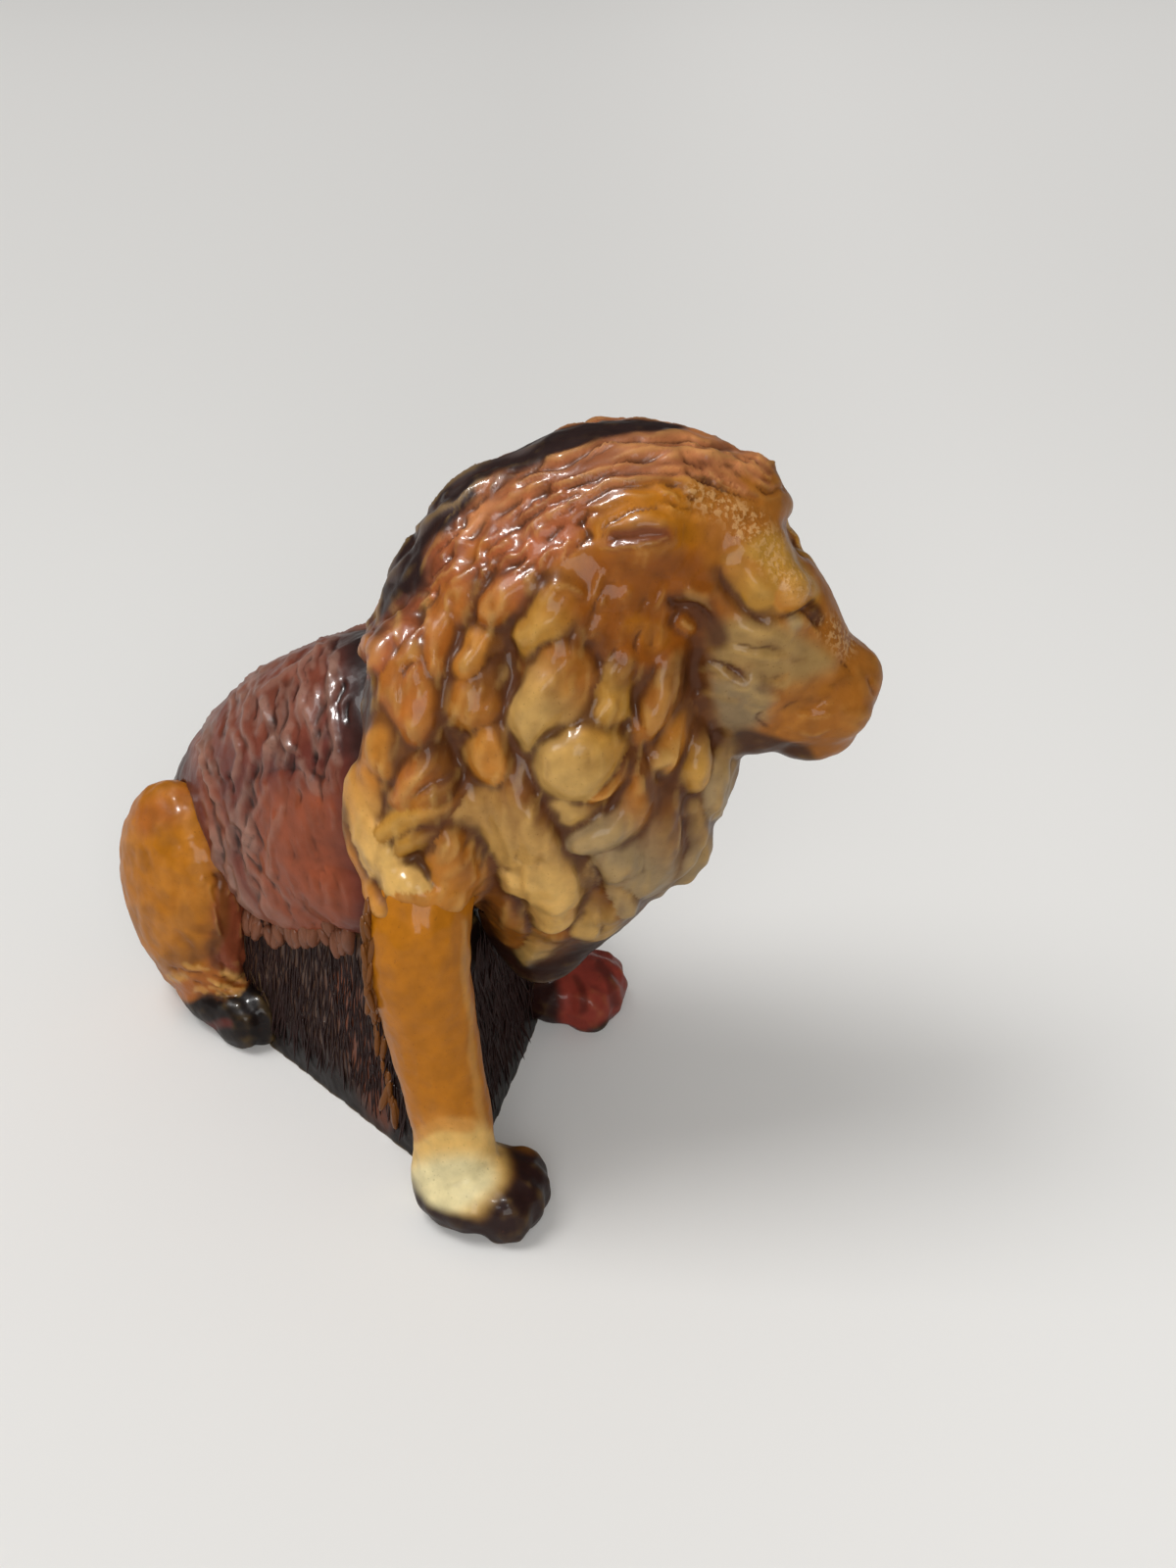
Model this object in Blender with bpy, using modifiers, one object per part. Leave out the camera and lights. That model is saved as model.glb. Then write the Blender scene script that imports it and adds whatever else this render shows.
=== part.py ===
"""A seated lion figure, moulded in nine pieces that plug and bond together.

The body faces -Y, the lion's right side is -X and its paws rest on the XY plane. Lengths are
in metres and angles in radians. Each piece is sculpted from overlapping lumps and tapered
limbs, fused into one skin, and then seated against the pieces that it joins.
"""

import math
from dataclasses import dataclass

import bmesh
import bpy
from mathutils import Matrix, Vector
from mathutils.bvhtree import BVHTree


@dataclass(frozen=True)
class Skin:
    """How a piece is fused: grid cells across its width, relaxing steps and triangles."""

    cells: int
    relaxing: int
    triangles: int


@dataclass(frozen=True)
class Coat:
    """The colour and roughness of a moulded piece."""

    colour: tuple
    roughness: float


MM = 0.001
DEG = math.pi / 180

# Stance: where the paws stand and which way the chest and the head are turned
FORELEG_HEIGHT = 42 * MM
FORELEG_SPREAD = 42.6 * MM
FORELEG_SHIFT = 1.3 * MM
HIND_SPREAD = 27 * MM
STANCE_LENGTH = 44.5 * MM
CHEST_ADVANCE = 12.5 * MM
CHEST_TURN = 31 * DEG
HEAD_TURN = 38 * DEG

# Torso
TORSO_LENGTH = 70 * MM
TORSO_WIDTH = 38 * MM
TORSO_HEIGHT = 45 * MM
NECK_ADVANCE = 20 * MM
BELLY_DROP = 21 * MM

# Mane
MANE_LENGTH = 48 * MM
MANE_WIDTH = 46 * MM
MANE_HEIGHT = 75 * MM
MANE_FRONT = 33.6 * MM
CHEST_DROP = 19 * MM
LOCK_WIDTH = 6.4 * MM
LOCK_RISE = 1.8 * MM
EAR_LENGTH = 11 * MM
EAR_HEIGHT = 7 * MM
EAR_THICKNESS = 4.7 * MM
EAR_PITCH = -20 * DEG

# Head
HEAD_LENGTH = 38 * MM
HEAD_WIDTH = 28 * MM
HEAD_HEIGHT = 40 * MM
NOSE_REACH = 49.8 * MM
JAW_HEIGHT = 56 * MM

# Forelegs
FORELEG_THICKNESS = 13 * MM
FOREPAW_LENGTH = 17 * MM
FOREPAW_WIDTH = 14.5 * MM
FOREPAW_HEIGHT = 9.5 * MM
SHOULDER_PLUG = 12 * MM
FORELEG_LEAN = 2.6 * MM
PAW_SPLAY = 2 * MM

# Hind legs
HAUNCH_LENGTH = 24 * MM
HAUNCH_THICKNESS = 16 * MM
HAUNCH_HEIGHT = 36 * MM
HAUNCH_OVERHANG = 2.5 * MM
HAUNCH_ADVANCE = 2 * MM
HIND_PAW_LENGTH = 21 * MM
HIND_PAW_WIDTH = 12.5 * MM
HIND_PAW_HEIGHT = 10 * MM

# Web between the legs, and tail
WEB_HEIGHT = 31 * MM
WEB_REAR_HEIGHT = 24 * MM
WEB_ADVANCE = 2 * MM
WEB_REAR = 7 * MM
TAIL_THICKNESS = 5.4 * MM
TAIL_ROOT_HEIGHT = 20 * MM
TAIL_SWEEP = 26 * MM
TUFT_LENGTH = 15 * MM
TUFT_THICKNESS = 8 * MM

# Fits: the bond gap between two pieces, and how far the floor's cutter runs past them
CLEARANCE = 0.3 * MM
FLOOR_OVERRUN = 20 * MM

# The torso is a row of upright slices: place along it, middle height, half width, half height
TORSO_SLICE_SHARES = (
    (0.05, 0.56, 0.30, 0.29),
    (0.20, 0.56, 0.42, 0.40),
    (0.37, 0.52, 0.48, 0.455),
    (0.54, 0.40, 0.485, 0.46),
    (0.69, 0.22, 0.46, 0.48),
    (0.81, 0.07, 0.40, 0.46),
    (0.90, -0.04, 0.32, 0.38),
    (0.95, -0.11, 0.22, 0.28),
)
TORSO_SLICE_HALF_SHARE = 0.075

# Lumps are rows of shares of a piece's width, length and height: place (aside, along, up),
# then half sizes (aside, along, up), then the pitch in degrees. Along runs from front to back.
TORSO_PAIR_SHARES = (
    (0.33, 0.40, 0.40, 0.17, 0.13, 0.24, 0),
    (0.27, 0.30, 0.30, 0.22, 0.18, 0.16, 0),
    (0.28, 0.48, 0.20, 0.21, 0.20, 0.20, 0),
)
HEAD_SHARES = (
    (0.0, 0.684, 0.66, 0.45, 0.31, 0.30, 0),
    (0.0, 0.50, 0.75, 0.34, 0.20, 0.19, 0),
    (0.0, 0.33, 0.525, 0.23, 0.16, 0.26, -37),
    (0.0, 0.42, 0.46, 0.36, 0.24, 0.24, -20),
    (0.0, 0.197, 0.25, 0.25, 0.184, 0.1625, -15),
    (0.0, 0.084, 0.288, 0.136, 0.079, 0.08, 0),
    (0.0, 0.224, 0.105, 0.196, 0.158, 0.105, -10),
    (0.0, 0.447, 0.20, 0.32, 0.237, 0.175, 0),
    (0.0, 0.29, 0.31, 0.27, 0.20, 0.17, -20),
)
HEAD_PAIR_SHARES = (
    (0.129, 0.158, 0.212, 0.143, 0.121, 0.10, 0),
    (0.15, 0.27, 0.21, 0.15, 0.15, 0.10, 0),
    (0.12, 0.28, 0.37, 0.14, 0.16, 0.10, -40),
    (0.205, 0.50, 0.37, 0.21, 0.24, 0.24, 0),
    (0.20, 0.46, 0.50, 0.20, 0.17, 0.16, -30),
    (0.19, 0.43, 0.66, 0.15, 0.14, 0.11, -30),
    (0.16, 0.38, 0.34, 0.17, 0.18, 0.18, -20),
    (0.235, 0.34, 0.645, 0.08, 0.08, 0.05, -20),
    (0.22, 0.30, 0.555, 0.06, 0.05, 0.045, 0),
)
PAW_SHARES = (
    (0.0, -0.20, 0.40, 0.50, 0.50, 0.50, 0),
    (-0.31, -0.47, 0.34, 0.17, 0.21, 0.41, 0),
    (-0.105, -0.53, 0.36, 0.17, 0.21, 0.44, 0),
    (0.105, -0.53, 0.36, 0.17, 0.21, 0.44, 0),
    (0.31, -0.47, 0.34, 0.17, 0.21, 0.41, 0),
)
HAUNCH_SHARES = (
    (0.0, 0.14, 0.58, 0.45, 0.46, 0.455, 0),
    (0.0, 0.04, 0.41, 0.34, 0.34, 0.34, 0),
    (-0.10, 0.30, 0.26, 0.26, 0.26, 0.26, 0),
)

# Limbs are rows along a path: shares of its sideways reach, of its reach along the body and
# of its height, and the share of its thickness there
FORELEG_SHARES = (
    (1.0, -0.5, 0.14, 0.80),
    (0.5, -0.5, 0.29, 0.76),
    (0.0, 0.5, 0.62, 0.86),
    (0.0, 1.0, 1.0, 1.0),
)
TAIL_SHARES = (
    (0.21, -0.21, 1.0, 1.3),
    (0.31, 0.10, 0.48, 1.1),
    (0.50, 0.10, 0.0, 1.0),
    (0.88, -0.28, 0.0, 1.0),
    (1.0, -0.75, 0.0, 0.9),
)

# The mane is a stack of level rings: height, front edge, back edge and half width
MANE_RING_SHARES = (
    (0.00, 0.47, 0.65, 0.07),
    (0.07, 0.36, 0.73, 0.13),
    (0.15, 0.24, 0.76, 0.22),
    (0.24, 0.14, 0.90, 0.33),
    (0.36, 0.06, 0.98, 0.43),
    (0.48, 0.04, 0.99, 0.47),
    (0.61, 0.05, 0.98, 0.44),
    (0.74, 0.05, 0.88, 0.38),
    (0.85, 0.04, 0.74, 0.31),
    (0.93, 0.03, 0.60, 0.23),
    (0.98, 0.12, 0.42, 0.12),
)
MANE_FIRST_SHARE = 0.02
MANE_LAST_SHARE = 0.93
MANE_RING_HALF_SHARE = 0.07
# The shoulders are lumps of the width, the width and the height of a foreleg, from its foot
SHOULDER_SHARES = (
    (-0.52, 0.23, 1.26, 0.60, 0.78, 0.34, 0),
    (-0.72, 0.17, 1.55, 0.60, 0.74, 0.32, 0),
)
FORELOCK_SHARES = ((0.0, 0.15, 0.88, 0.20, 0.22, 0.075, -12),)
EAR_UP_SHARE = 0.89
EAR_ALONG_SHARE = 0.27

# The main locks of each side: height and angle from the front in degrees at the root, the
# same at the tip, and the share of the usual width
LOCK_SHARES = (
    (0.90, 172, 0.78, 172, 0.80),
    (0.78, 172, 0.66, 172, 0.80),
    (0.66, 172, 0.55, 172, 0.80),
    (0.54, 172, 0.43, 172, 0.80),
    (0.85, 156, 0.70, 163, 0.75),
    (0.68, 158, 0.56, 160, 0.80),
    (0.85, 141, 0.70, 147, 0.75),
    (0.85, 128, 0.70, 132, 0.75),
    (0.71, 140, 0.58, 126, 0.80),
    (0.86, 114, 0.75, 118, 0.80),
    (0.75, 118, 0.63, 111, 0.85),
    (0.86, 101, 0.74, 101, 0.75),
    (0.78, 86, 0.61, 92, 1.10),
    (0.60, 67, 0.52, 84, 1.40),
    (0.60, 55, 0.44, 57, 0.85),
    (0.45, 60, 0.41, 78, 0.85),
    (0.71, 44, 0.58, 56, 0.90),
    (0.59, 32, 0.46, 40, 0.85),
    (0.52, 21, 0.38, 29, 0.80),
    (0.48, 49, 0.31, 42, 1.00),
    (0.45, 68, 0.28, 64, 1.20),
    (0.38, 28, 0.23, 36, 0.90),
    (0.30, 46, 0.20, 62, 0.85),
    (0.47, 8, 0.35, 9, 0.95),
    (0.33, 13, 0.21, 12, 0.95),
    (0.63, 103, 0.53, 104, 0.85),
    (0.55, 96, 0.41, 87, 1.25),
    (0.40, 86, 0.22, 82, 1.10),
    (0.50, 108, 0.30, 97, 1.00),
    (0.62, 134, 0.50, 131, 0.90),
    (0.62, 118, 0.48, 125, 1.00),
    (0.54, 110, 0.42, 121, 0.90),
    (0.51, 140, 0.33, 133, 0.95),
    (0.45, 113, 0.33, 110, 1.20),
    (0.43, 127, 0.28, 124, 1.10),
    (0.32, 103, 0.17, 101, 0.85),
    (0.19, 92, 0.13, 70, 0.80),
)
# The ends of a lock are this share of its middle
LOCK_END_SHARE = 0.55

# The web's top edge is drawn in from its floor outline by this share
WEB_TAPER_SHARE = 0.10

SPHERE_DETAIL = 3
LIMB_STEPS = 14
LOCK_STEPS = 9
TORSO_SLICES = 26
MANE_RINGS = 60

HEAD_SKIN = Skin(cells=56, relaxing=16, triangles=1700)
TORSO_SKIN = Skin(cells=48, relaxing=30, triangles=1150)
MANE_SKIN = Skin(cells=76, relaxing=7, triangles=4400)
FORELEG_SKIN = Skin(cells=26, relaxing=16, triangles=640)
HIND_LEG_SKIN = Skin(cells=32, relaxing=8, triangles=680)
TAIL_SKIN = Skin(cells=8, relaxing=2, triangles=330)

COATS = {
    "head": Coat((0.30, 0.13, 0.035), 0.32),
    "right_foreleg": Coat((0.54, 0.23, 0.035), 0.28),
    "left_foreleg": Coat((0.20, 0.035, 0.012), 0.20),
    "right_hind_leg": Coat((0.44, 0.16, 0.025), 0.26),
    "left_hind_leg": Coat((0.22, 0.05, 0.015), 0.22),
    "torso": Coat((0.15, 0.03, 0.015), 0.22),
    "mane": Coat((0.45, 0.22, 0.06), 0.30),
    "tail": Coat((0.18, 0.04, 0.015), 0.22),
    "leg_web": Coat((0.03, 0.02, 0.02), 0.30),
}


def new_collection(name: str, hidden: bool = False) -> bpy.types.Collection:
    """Adds an empty collection to the scene."""
    collection = bpy.data.collections.new(name)
    collection.hide_render = hidden
    bpy.context.scene.collection.children.link(collection)
    return collection


def clear_scene() -> None:
    """Removes whatever the scene holds."""
    for obj in list(bpy.data.objects):
        bpy.data.objects.remove(obj, do_unlink=True)


def dress(piece: bpy.types.Object) -> None:
    """Gives a piece the material of its coat."""
    coat = COATS[piece.name]
    material = bpy.data.materials.new(piece.name + "_coat")
    material.use_nodes = True
    shader = material.node_tree.nodes["Principled BSDF"]
    shader.inputs["Base Color"].default_value = (*coat.colour, 1)
    shader.inputs["Roughness"].default_value = coat.roughness
    shader.inputs["Metallic"].default_value = 0
    piece.data.materials.clear()
    piece.data.materials.append(material)


def lump(frame: Matrix, centre: Vector, half: Vector, pitch: float = 0) -> Matrix:
    """The matrix that turns a unit sphere into an ellipsoid of a piece."""
    turned = Matrix.Rotation(pitch, 4, "X")
    return frame @ Matrix.Translation(centre) @ turned @ Matrix.Diagonal((*half, 1))


def lumps_of(frame: Matrix, rows: tuple, size: Vector, sides: tuple = (1,)) -> list:
    """Reads rows of shares as ellipsoids of a piece of this size (aside, along, up)."""
    lumps = []
    for aside, along, up, half_aside, half_along, half_up, pitch in rows:
        half = Vector((half_aside * size.x, half_along * size.y, half_up * size.z))
        for side in sides:
            centre = Vector((side * aside * size.x, along * size.y, up * size.z))
            lumps.append(lump(frame, centre, half, pitch * DEG))
    return lumps


def limb(points: list, radii: list) -> list:
    """Balls strung closely along a smooth path, whose radius changes from end to end."""
    matrices = []
    last = len(points) - 1
    for step in range(LIMB_STEPS * last + 1):
        at = step / LIMB_STEPS
        index = min(int(at), last - 1)
        share = at - index
        before = points[max(index - 1, 0)]
        start, end = points[index], points[index + 1]
        after = points[min(index + 2, last)]
        place = smooth_point(before, start, end, after, share)
        radius = radii[index] + (radii[index + 1] - radii[index]) * share
        matrices.append(Matrix.Translation(place) @ Matrix.Diagonal((radius, radius, radius, 1)))
    return matrices


def smooth_point(before: Vector, start: Vector, end: Vector, after: Vector, share: float) -> Vector:
    """A point of the smooth curve that runs through start and end."""
    linear = (end - before) * share
    square = (2 * before - 5 * start + 4 * end - after) * share**2
    cube = (3 * start - before - 3 * end + after) * share**3
    return start + (linear + square + cube) / 2


def between(rows: tuple, at: float) -> list:
    """Reads a table at a value of its first column, part way between two rows."""
    for lower, upper in zip(rows, rows[1:]):
        if at <= upper[0]:
            break
    share = (at - lower[0]) / (upper[0] - lower[0])
    return [low + (high - low) * share for low, high in zip(lower[1:], upper[1:])]


def bake(obj: bpy.types.Object) -> None:
    """Replaces an object's mesh by its evaluated one and drops the modifiers."""
    graph = bpy.context.evaluated_depsgraph_get()
    graph.update()
    mesh = bpy.data.meshes.new_from_object(obj.evaluated_get(graph))
    obj.modifiers.clear()
    obj.data = mesh


def add_object(name: str, body: bmesh.types.BMesh, collection: bpy.types.Collection) -> bpy.types.Object:
    """Turns a finished bmesh into an object of a collection."""
    mesh = bpy.data.meshes.new(name)
    body.to_mesh(mesh)
    body.free()
    obj = bpy.data.objects.new(name, mesh)
    collection.objects.link(obj)
    return obj


def balls(shapes: list) -> tuple:
    """Copies a unit sphere through each matrix.

    Args:
        shapes: matrices of unit spheres.

    Returns:
        The points of all copies, and their faces.
    """
    unit = bmesh.new()
    bmesh.ops.create_icosphere(unit, subdivisions=SPHERE_DETAIL, radius=1)
    unit.verts.index_update()
    ball = [vertex.co.copy() for vertex in unit.verts]
    sides = [[vertex.index for vertex in face.verts] for face in unit.faces]
    unit.free()
    points = [matrix @ point for matrix in shapes for point in ball]
    firsts = range(0, len(points), len(ball))
    return points, [[index + first for index in side] for first in firsts for side in sides]


def fuse(name: str, shapes: list, width: float, skin: Skin) -> bpy.types.Object:
    """Fuses ellipsoids into one skin.

    Args:
        name: the object's name.
        shapes: matrices of unit spheres.
        width: the width of the piece, which its grid cells divide.
        skin: how finely it is fused, relaxed and thinned.

    Returns:
        The object, in the collection of the figure.
    """
    points, faces = balls(shapes)
    mesh = bpy.data.meshes.new(name)
    mesh.from_pydata(points, [], faces)
    obj = bpy.data.objects.new(name, mesh)
    figure.objects.link(obj)
    grid = obj.modifiers.new("grid", "REMESH")
    grid.mode = "VOXEL"
    grid.voxel_size = width / skin.cells
    relax = obj.modifiers.new("relax", "SMOOTH")
    relax.iterations = skin.relaxing
    bake(obj)
    obj.data.calc_loop_triangles()
    thin = obj.modifiers.new("thin", "DECIMATE")
    thin.ratio = min(1, skin.triangles / len(obj.data.loop_triangles))
    thin.use_collapse_triangulate = True
    bake(obj)
    return obj


def subtract(obj: bpy.types.Object, cutter: bpy.types.Object, solver: str) -> None:
    """Cuts one object from another."""
    cut = obj.modifiers.new("cut", "BOOLEAN")
    cut.operation = "DIFFERENCE"
    cut.solver = solver
    cut.object = cutter


def as_cutter(obj: bpy.types.Object) -> bpy.types.Object:
    """Marks an object as a helper that is never rendered."""
    obj.hide_render = True
    obj.display_type = "WIRE"
    return obj


def swollen(tool: bpy.types.Object) -> bpy.types.Object:
    """A cutter that is larger than a piece by the clearance all round."""
    cutter = bpy.data.objects.new("seat_of_" + tool.name, tool.data.copy())
    cutters.objects.link(cutter)
    swell = cutter.modifiers.new("swell", "DISPLACE")
    swell.strength = CLEARANCE
    swell.mid_level = 0
    return as_cutter(cutter)


def floor_cutter() -> bpy.types.Object:
    """A block below the floor, which cuts the paws flat."""
    span = TORSO_LENGTH + NOSE_REACH + TAIL_SWEEP
    block = bmesh.new()
    sink = Matrix.Translation((0, 0, -FLOOR_OVERRUN / 2))
    size = Matrix.Diagonal((2 * span, 2 * span, FLOOR_OVERRUN, 1))
    bmesh.ops.create_cube(block, size=1, matrix=sink @ size)
    return as_cutter(add_object("floor_cut", block, cutters))


def keep_main_body(obj: bpy.types.Object) -> None:
    """Drops the crumbs that a cut leaves beside the main body."""
    body = bmesh.new()
    body.from_mesh(obj.data)
    left = set(body.verts)
    islands = []
    while left:
        found = {left.pop()}
        edge = list(found)
        while edge:
            vertex = edge.pop()
            for link in vertex.link_edges:
                other = link.other_vert(vertex)
                if other in left:
                    left.discard(other)
                    found.add(other)
                    edge.append(other)
        islands.append(found)
    islands.sort(key=len)
    crumbs = [vertex for island in islands[:-1] for vertex in island]
    bmesh.ops.delete(body, geom=crumbs, context="VERTS")
    body.to_mesh(obj.data)
    body.free()


def chest_frame(turn: float) -> Matrix:
    """The frame of the chest's centre on the floor, turned to the lion's left."""
    centre = Matrix.Translation((0, -CHEST_ADVANCE, 0))
    return centre @ Matrix.Rotation(turn, 4, "Z")


def make_torso() -> bpy.types.Object:
    """The trunk, from the neck down to the rump."""
    size = Vector((TORSO_WIDTH, TORSO_LENGTH, TORSO_HEIGHT))
    start = Matrix.Translation((0, -NECK_ADVANCE, FORELEG_HEIGHT - BELLY_DROP))
    shapes = lumps_of(start, TORSO_PAIR_SHARES, size, sides=(-1, 1))
    first, last = TORSO_SLICE_SHARES[0][0], TORSO_SLICE_SHARES[-1][0]
    for step in range(TORSO_SLICES):
        along = first + (last - first) * step / (TORSO_SLICES - 1)
        up, half_width, half_height = between(TORSO_SLICE_SHARES, along)
        half = Vector((half_width * size.x, TORSO_SLICE_HALF_SHARE * size.y, half_height * size.z))
        shapes.append(lump(start, Vector((0, along * size.y, up * size.z)), half))
    return fuse("torso", shapes, TORSO_WIDTH, TORSO_SKIN)


def mane_ring(up_share: float) -> tuple:
    """The mane's height, middle, half length and half width at a share of its height."""
    front, back, half_width = between(MANE_RING_SHARES, up_share)
    middle = (front + back) / 2 * MANE_LENGTH
    return up_share * MANE_HEIGHT, middle, (back - front) / 2 * MANE_LENGTH, half_width * MANE_WIDTH


def mane_point(up_share: float, angle: float) -> Vector:
    """A point of the mane's skin, at an angle from the front round to the left."""
    up, middle, half_length, half_width = mane_ring(up_share)
    return Vector((half_width * math.sin(angle), middle - half_length * math.cos(angle), up))


def laid(core: BVHTree, frame: Matrix, up_share: float, degrees: float) -> tuple:
    """The point of the core's skin at a height and an angle, and the way that the skin faces."""
    up, along, _, _ = mane_ring(up_share)
    middle = frame @ Vector((0, along, up))
    outward = (frame @ mane_point(up_share, degrees * DEG) - middle).normalized()
    place, normal, _, _ = core.ray_cast(middle + outward * MANE_LENGTH, -outward)
    return place, normal


def locks(core: BVHTree, frame: Matrix) -> list:
    """The main locks of both sides, each a string of half sunk balls from its root to its tip."""
    strung = []
    for root_up, root_angle, tip_up, tip_angle, width_share in LOCK_SHARES:
        for side in (-1, 1):
            for step in range(LOCK_STEPS + 1):
                share = step / LOCK_STEPS
                taper = LOCK_END_SHARE + (1 - LOCK_END_SHARE) * math.sin(math.pi * share)
                up = root_up + (tip_up - root_up) * share
                angle = root_angle + (tip_angle - root_angle) * share
                place, outward = laid(core, frame, up, side * angle)
                radius = LOCK_WIDTH / 2 * width_share * taper
                centre = place - outward * (radius - LOCK_RISE * taper)
                strung.append(Matrix.Translation(centre) @ Matrix.Diagonal((radius, radius, radius, 1)))
    return strung


def ears(frame: Matrix) -> list:
    """Two rounded ears, half sunk in the hair at the sides of the crown."""
    up, _, _, half_width = mane_ring(EAR_UP_SHARE)
    half = Vector((EAR_THICKNESS, EAR_LENGTH, EAR_HEIGHT)) / 2
    along = MANE_LENGTH * EAR_ALONG_SHARE
    return [lump(frame, Vector((side * half_width, along, up)), half, EAR_PITCH) for side in (-1, 1)]


def make_mane() -> bpy.types.Object:
    """The ruff of hair round the neck, from the crown to the chest, with its ears."""
    size = Vector((MANE_WIDTH, MANE_LENGTH, MANE_HEIGHT))
    low_front = Matrix.Translation((0, -MANE_FRONT, FORELEG_HEIGHT - CHEST_DROP))
    frame = chest_frame(HEAD_TURN) @ low_front
    shapes = []
    for step in range(MANE_RINGS):
        rise = (MANE_LAST_SHARE - MANE_FIRST_SHARE) * step / (MANE_RINGS - 1)
        up, middle, half_length, half_width = mane_ring(MANE_FIRST_SHARE + rise)
        half = Vector((half_width, half_length, MANE_HEIGHT * MANE_RING_HALF_SHARE))
        shapes.append(lump(frame, Vector((0, middle, up)), half))
    shoulder = Vector((FORELEG_THICKNESS, FORELEG_THICKNESS, FORELEG_HEIGHT))
    for side in (-1, 1):
        shapes += lumps_of(foreleg_frame(side), SHOULDER_SHARES, shoulder, sides=(side,))
    shapes += locks(BVHTree.FromPolygons(*balls(shapes)), frame)
    shapes += ears(frame) + lumps_of(frame, FORELOCK_SHARES, size)
    return fuse("mane", shapes, MANE_WIDTH, MANE_SKIN)


def make_head() -> bpy.types.Object:
    """The skull, face and jaws."""
    size = Vector((HEAD_WIDTH, HEAD_LENGTH, HEAD_HEIGHT))
    frame = chest_frame(HEAD_TURN) @ Matrix.Translation((0, -NOSE_REACH, JAW_HEIGHT))
    shapes = lumps_of(frame, HEAD_SHARES, size)
    shapes += lumps_of(frame, HEAD_PAIR_SHARES, size, sides=(-1, 1))
    return fuse("head", shapes, HEAD_WIDTH, HEAD_SKIN)


def foreleg_frame(side: int) -> Matrix:
    """The floor under one foreleg, facing the way the chest faces."""
    aside = side * FORELEG_SPREAD / 2 - FORELEG_SHIFT
    return chest_frame(CHEST_TURN) @ Matrix.Translation((aside, 0, 0))


def make_foreleg(name: str, side: int) -> bpy.types.Object:
    """One straight foreleg with its paw."""
    frame = foreleg_frame(side)
    half = FORELEG_THICKNESS / 2
    path = []
    radii = []
    for aside, along, up, thickness in FORELEG_SHARES:
        place = Vector((aside * side * PAW_SPLAY, along * FORELEG_LEAN, up * FORELEG_HEIGHT))
        path.append(frame @ place)
        radii.append(thickness * half)
    plug = Vector((-side * FORELEG_THICKNESS, FORELEG_LEAN, FORELEG_HEIGHT + SHOULDER_PLUG))
    path.append(frame @ plug)
    radii.append(half)
    paw_frame = frame @ Matrix.Translation((side * PAW_SPLAY, -FORELEG_LEAN / 2, 0))
    paw = Vector((FOREPAW_WIDTH, FOREPAW_LENGTH, FOREPAW_HEIGHT))
    shapes = limb(path, radii) + lumps_of(paw_frame, PAW_SHARES, paw)
    return fuse(name, shapes, FORELEG_THICKNESS, FORELEG_SKIN)


def hind_frame(side: int) -> Matrix:
    """The floor under one hind paw."""
    return Matrix.Translation((side * HIND_SPREAD / 2, STANCE_LENGTH - CHEST_ADVANCE, 0))


def make_hind_leg(name: str, side: int) -> bpy.types.Object:
    """One folded hind leg: the haunch above its flat paw."""
    frame = hind_frame(side)
    haunch = Vector((HAUNCH_THICKNESS, HAUNCH_LENGTH, HAUNCH_HEIGHT))
    haunch_frame = frame @ Matrix.Translation((side * HAUNCH_OVERHANG, -HAUNCH_ADVANCE, 0))
    paw = Vector((HIND_PAW_WIDTH, HIND_PAW_LENGTH, HIND_PAW_HEIGHT))
    shapes = lumps_of(haunch_frame, HAUNCH_SHARES, haunch, sides=(side,))
    shapes += lumps_of(frame, PAW_SHARES, paw)
    return fuse(name, shapes, HAUNCH_THICKNESS, HIND_LEG_SKIN)


def make_web() -> bpy.types.Object:
    """The upright web that fills the space between the legs, under the belly."""
    forward = chest_frame(CHEST_TURN).to_3x3() @ Vector((0, -WEB_ADVANCE, 0))
    rear = Vector((0, WEB_REAR, 0))
    hind = [hind_frame(side).translation for side in (-1, 1)]
    fore = [foreleg_frame(side).translation + forward for side in (-1, 1)]
    corners = [hind[0], fore[0], fore[1], hind[1], hind[1] + rear, hind[0] + rear]
    middle = sum(corners, Vector()) / len(corners)
    body = bmesh.new()
    bottom = [body.verts.new(corner) for corner in corners]
    top = []
    for corner in corners:
        height = WEB_HEIGHT if corner in fore else WEB_REAR_HEIGHT
        top.append(body.verts.new(corner.lerp(middle, WEB_TAPER_SHARE) + Vector((0, 0, height))))
    body.faces.new(bottom)
    body.faces.new(top)
    for index in range(len(corners)):
        after = (index + 1) % len(corners)
        body.faces.new((bottom[index], bottom[after], top[after], top[index]))
    bmesh.ops.recalc_face_normals(body, faces=body.faces)
    return add_object("leg_web", body, figure)


def make_tail() -> bpy.types.Object:
    """The tail, from the rump down to the floor and round the left haunch to its tuft."""
    half = TAIL_THICKNESS / 2
    start = Vector((0, TORSO_LENGTH - NECK_ADVANCE, half))
    path = []
    radii = []
    for aside, along, up, thickness in TAIL_SHARES:
        reach = Vector((aside * TAIL_SWEEP, along * TAIL_SWEEP, up * (TAIL_ROOT_HEIGHT - half)))
        path.append(start + reach)
        radii.append(thickness * half)
    tuft = Vector((TUFT_THICKNESS, TUFT_LENGTH, TUFT_THICKNESS)) / 2
    tip = path[-1] + Vector((0, -tuft.y, tuft.z - half))
    shapes = limb(path, radii) + [lump(Matrix(), tip, tuft)]
    return fuse("tail", shapes, TAIL_THICKNESS, TAIL_SKIN)


def apart(one: bpy.types.Object, other: bpy.types.Object) -> bool:
    """Whether the boxes of two pieces are clear of each other."""
    for axis in range(3):
        one_span = [vertex.co[axis] for vertex in one.data.vertices]
        other_span = [vertex.co[axis] for vertex in other.data.vertices]
        gap = max(min(one_span) - max(other_span), min(other_span) - max(one_span))
        if gap > CLEARANCE:
            return True
    return False


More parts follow.
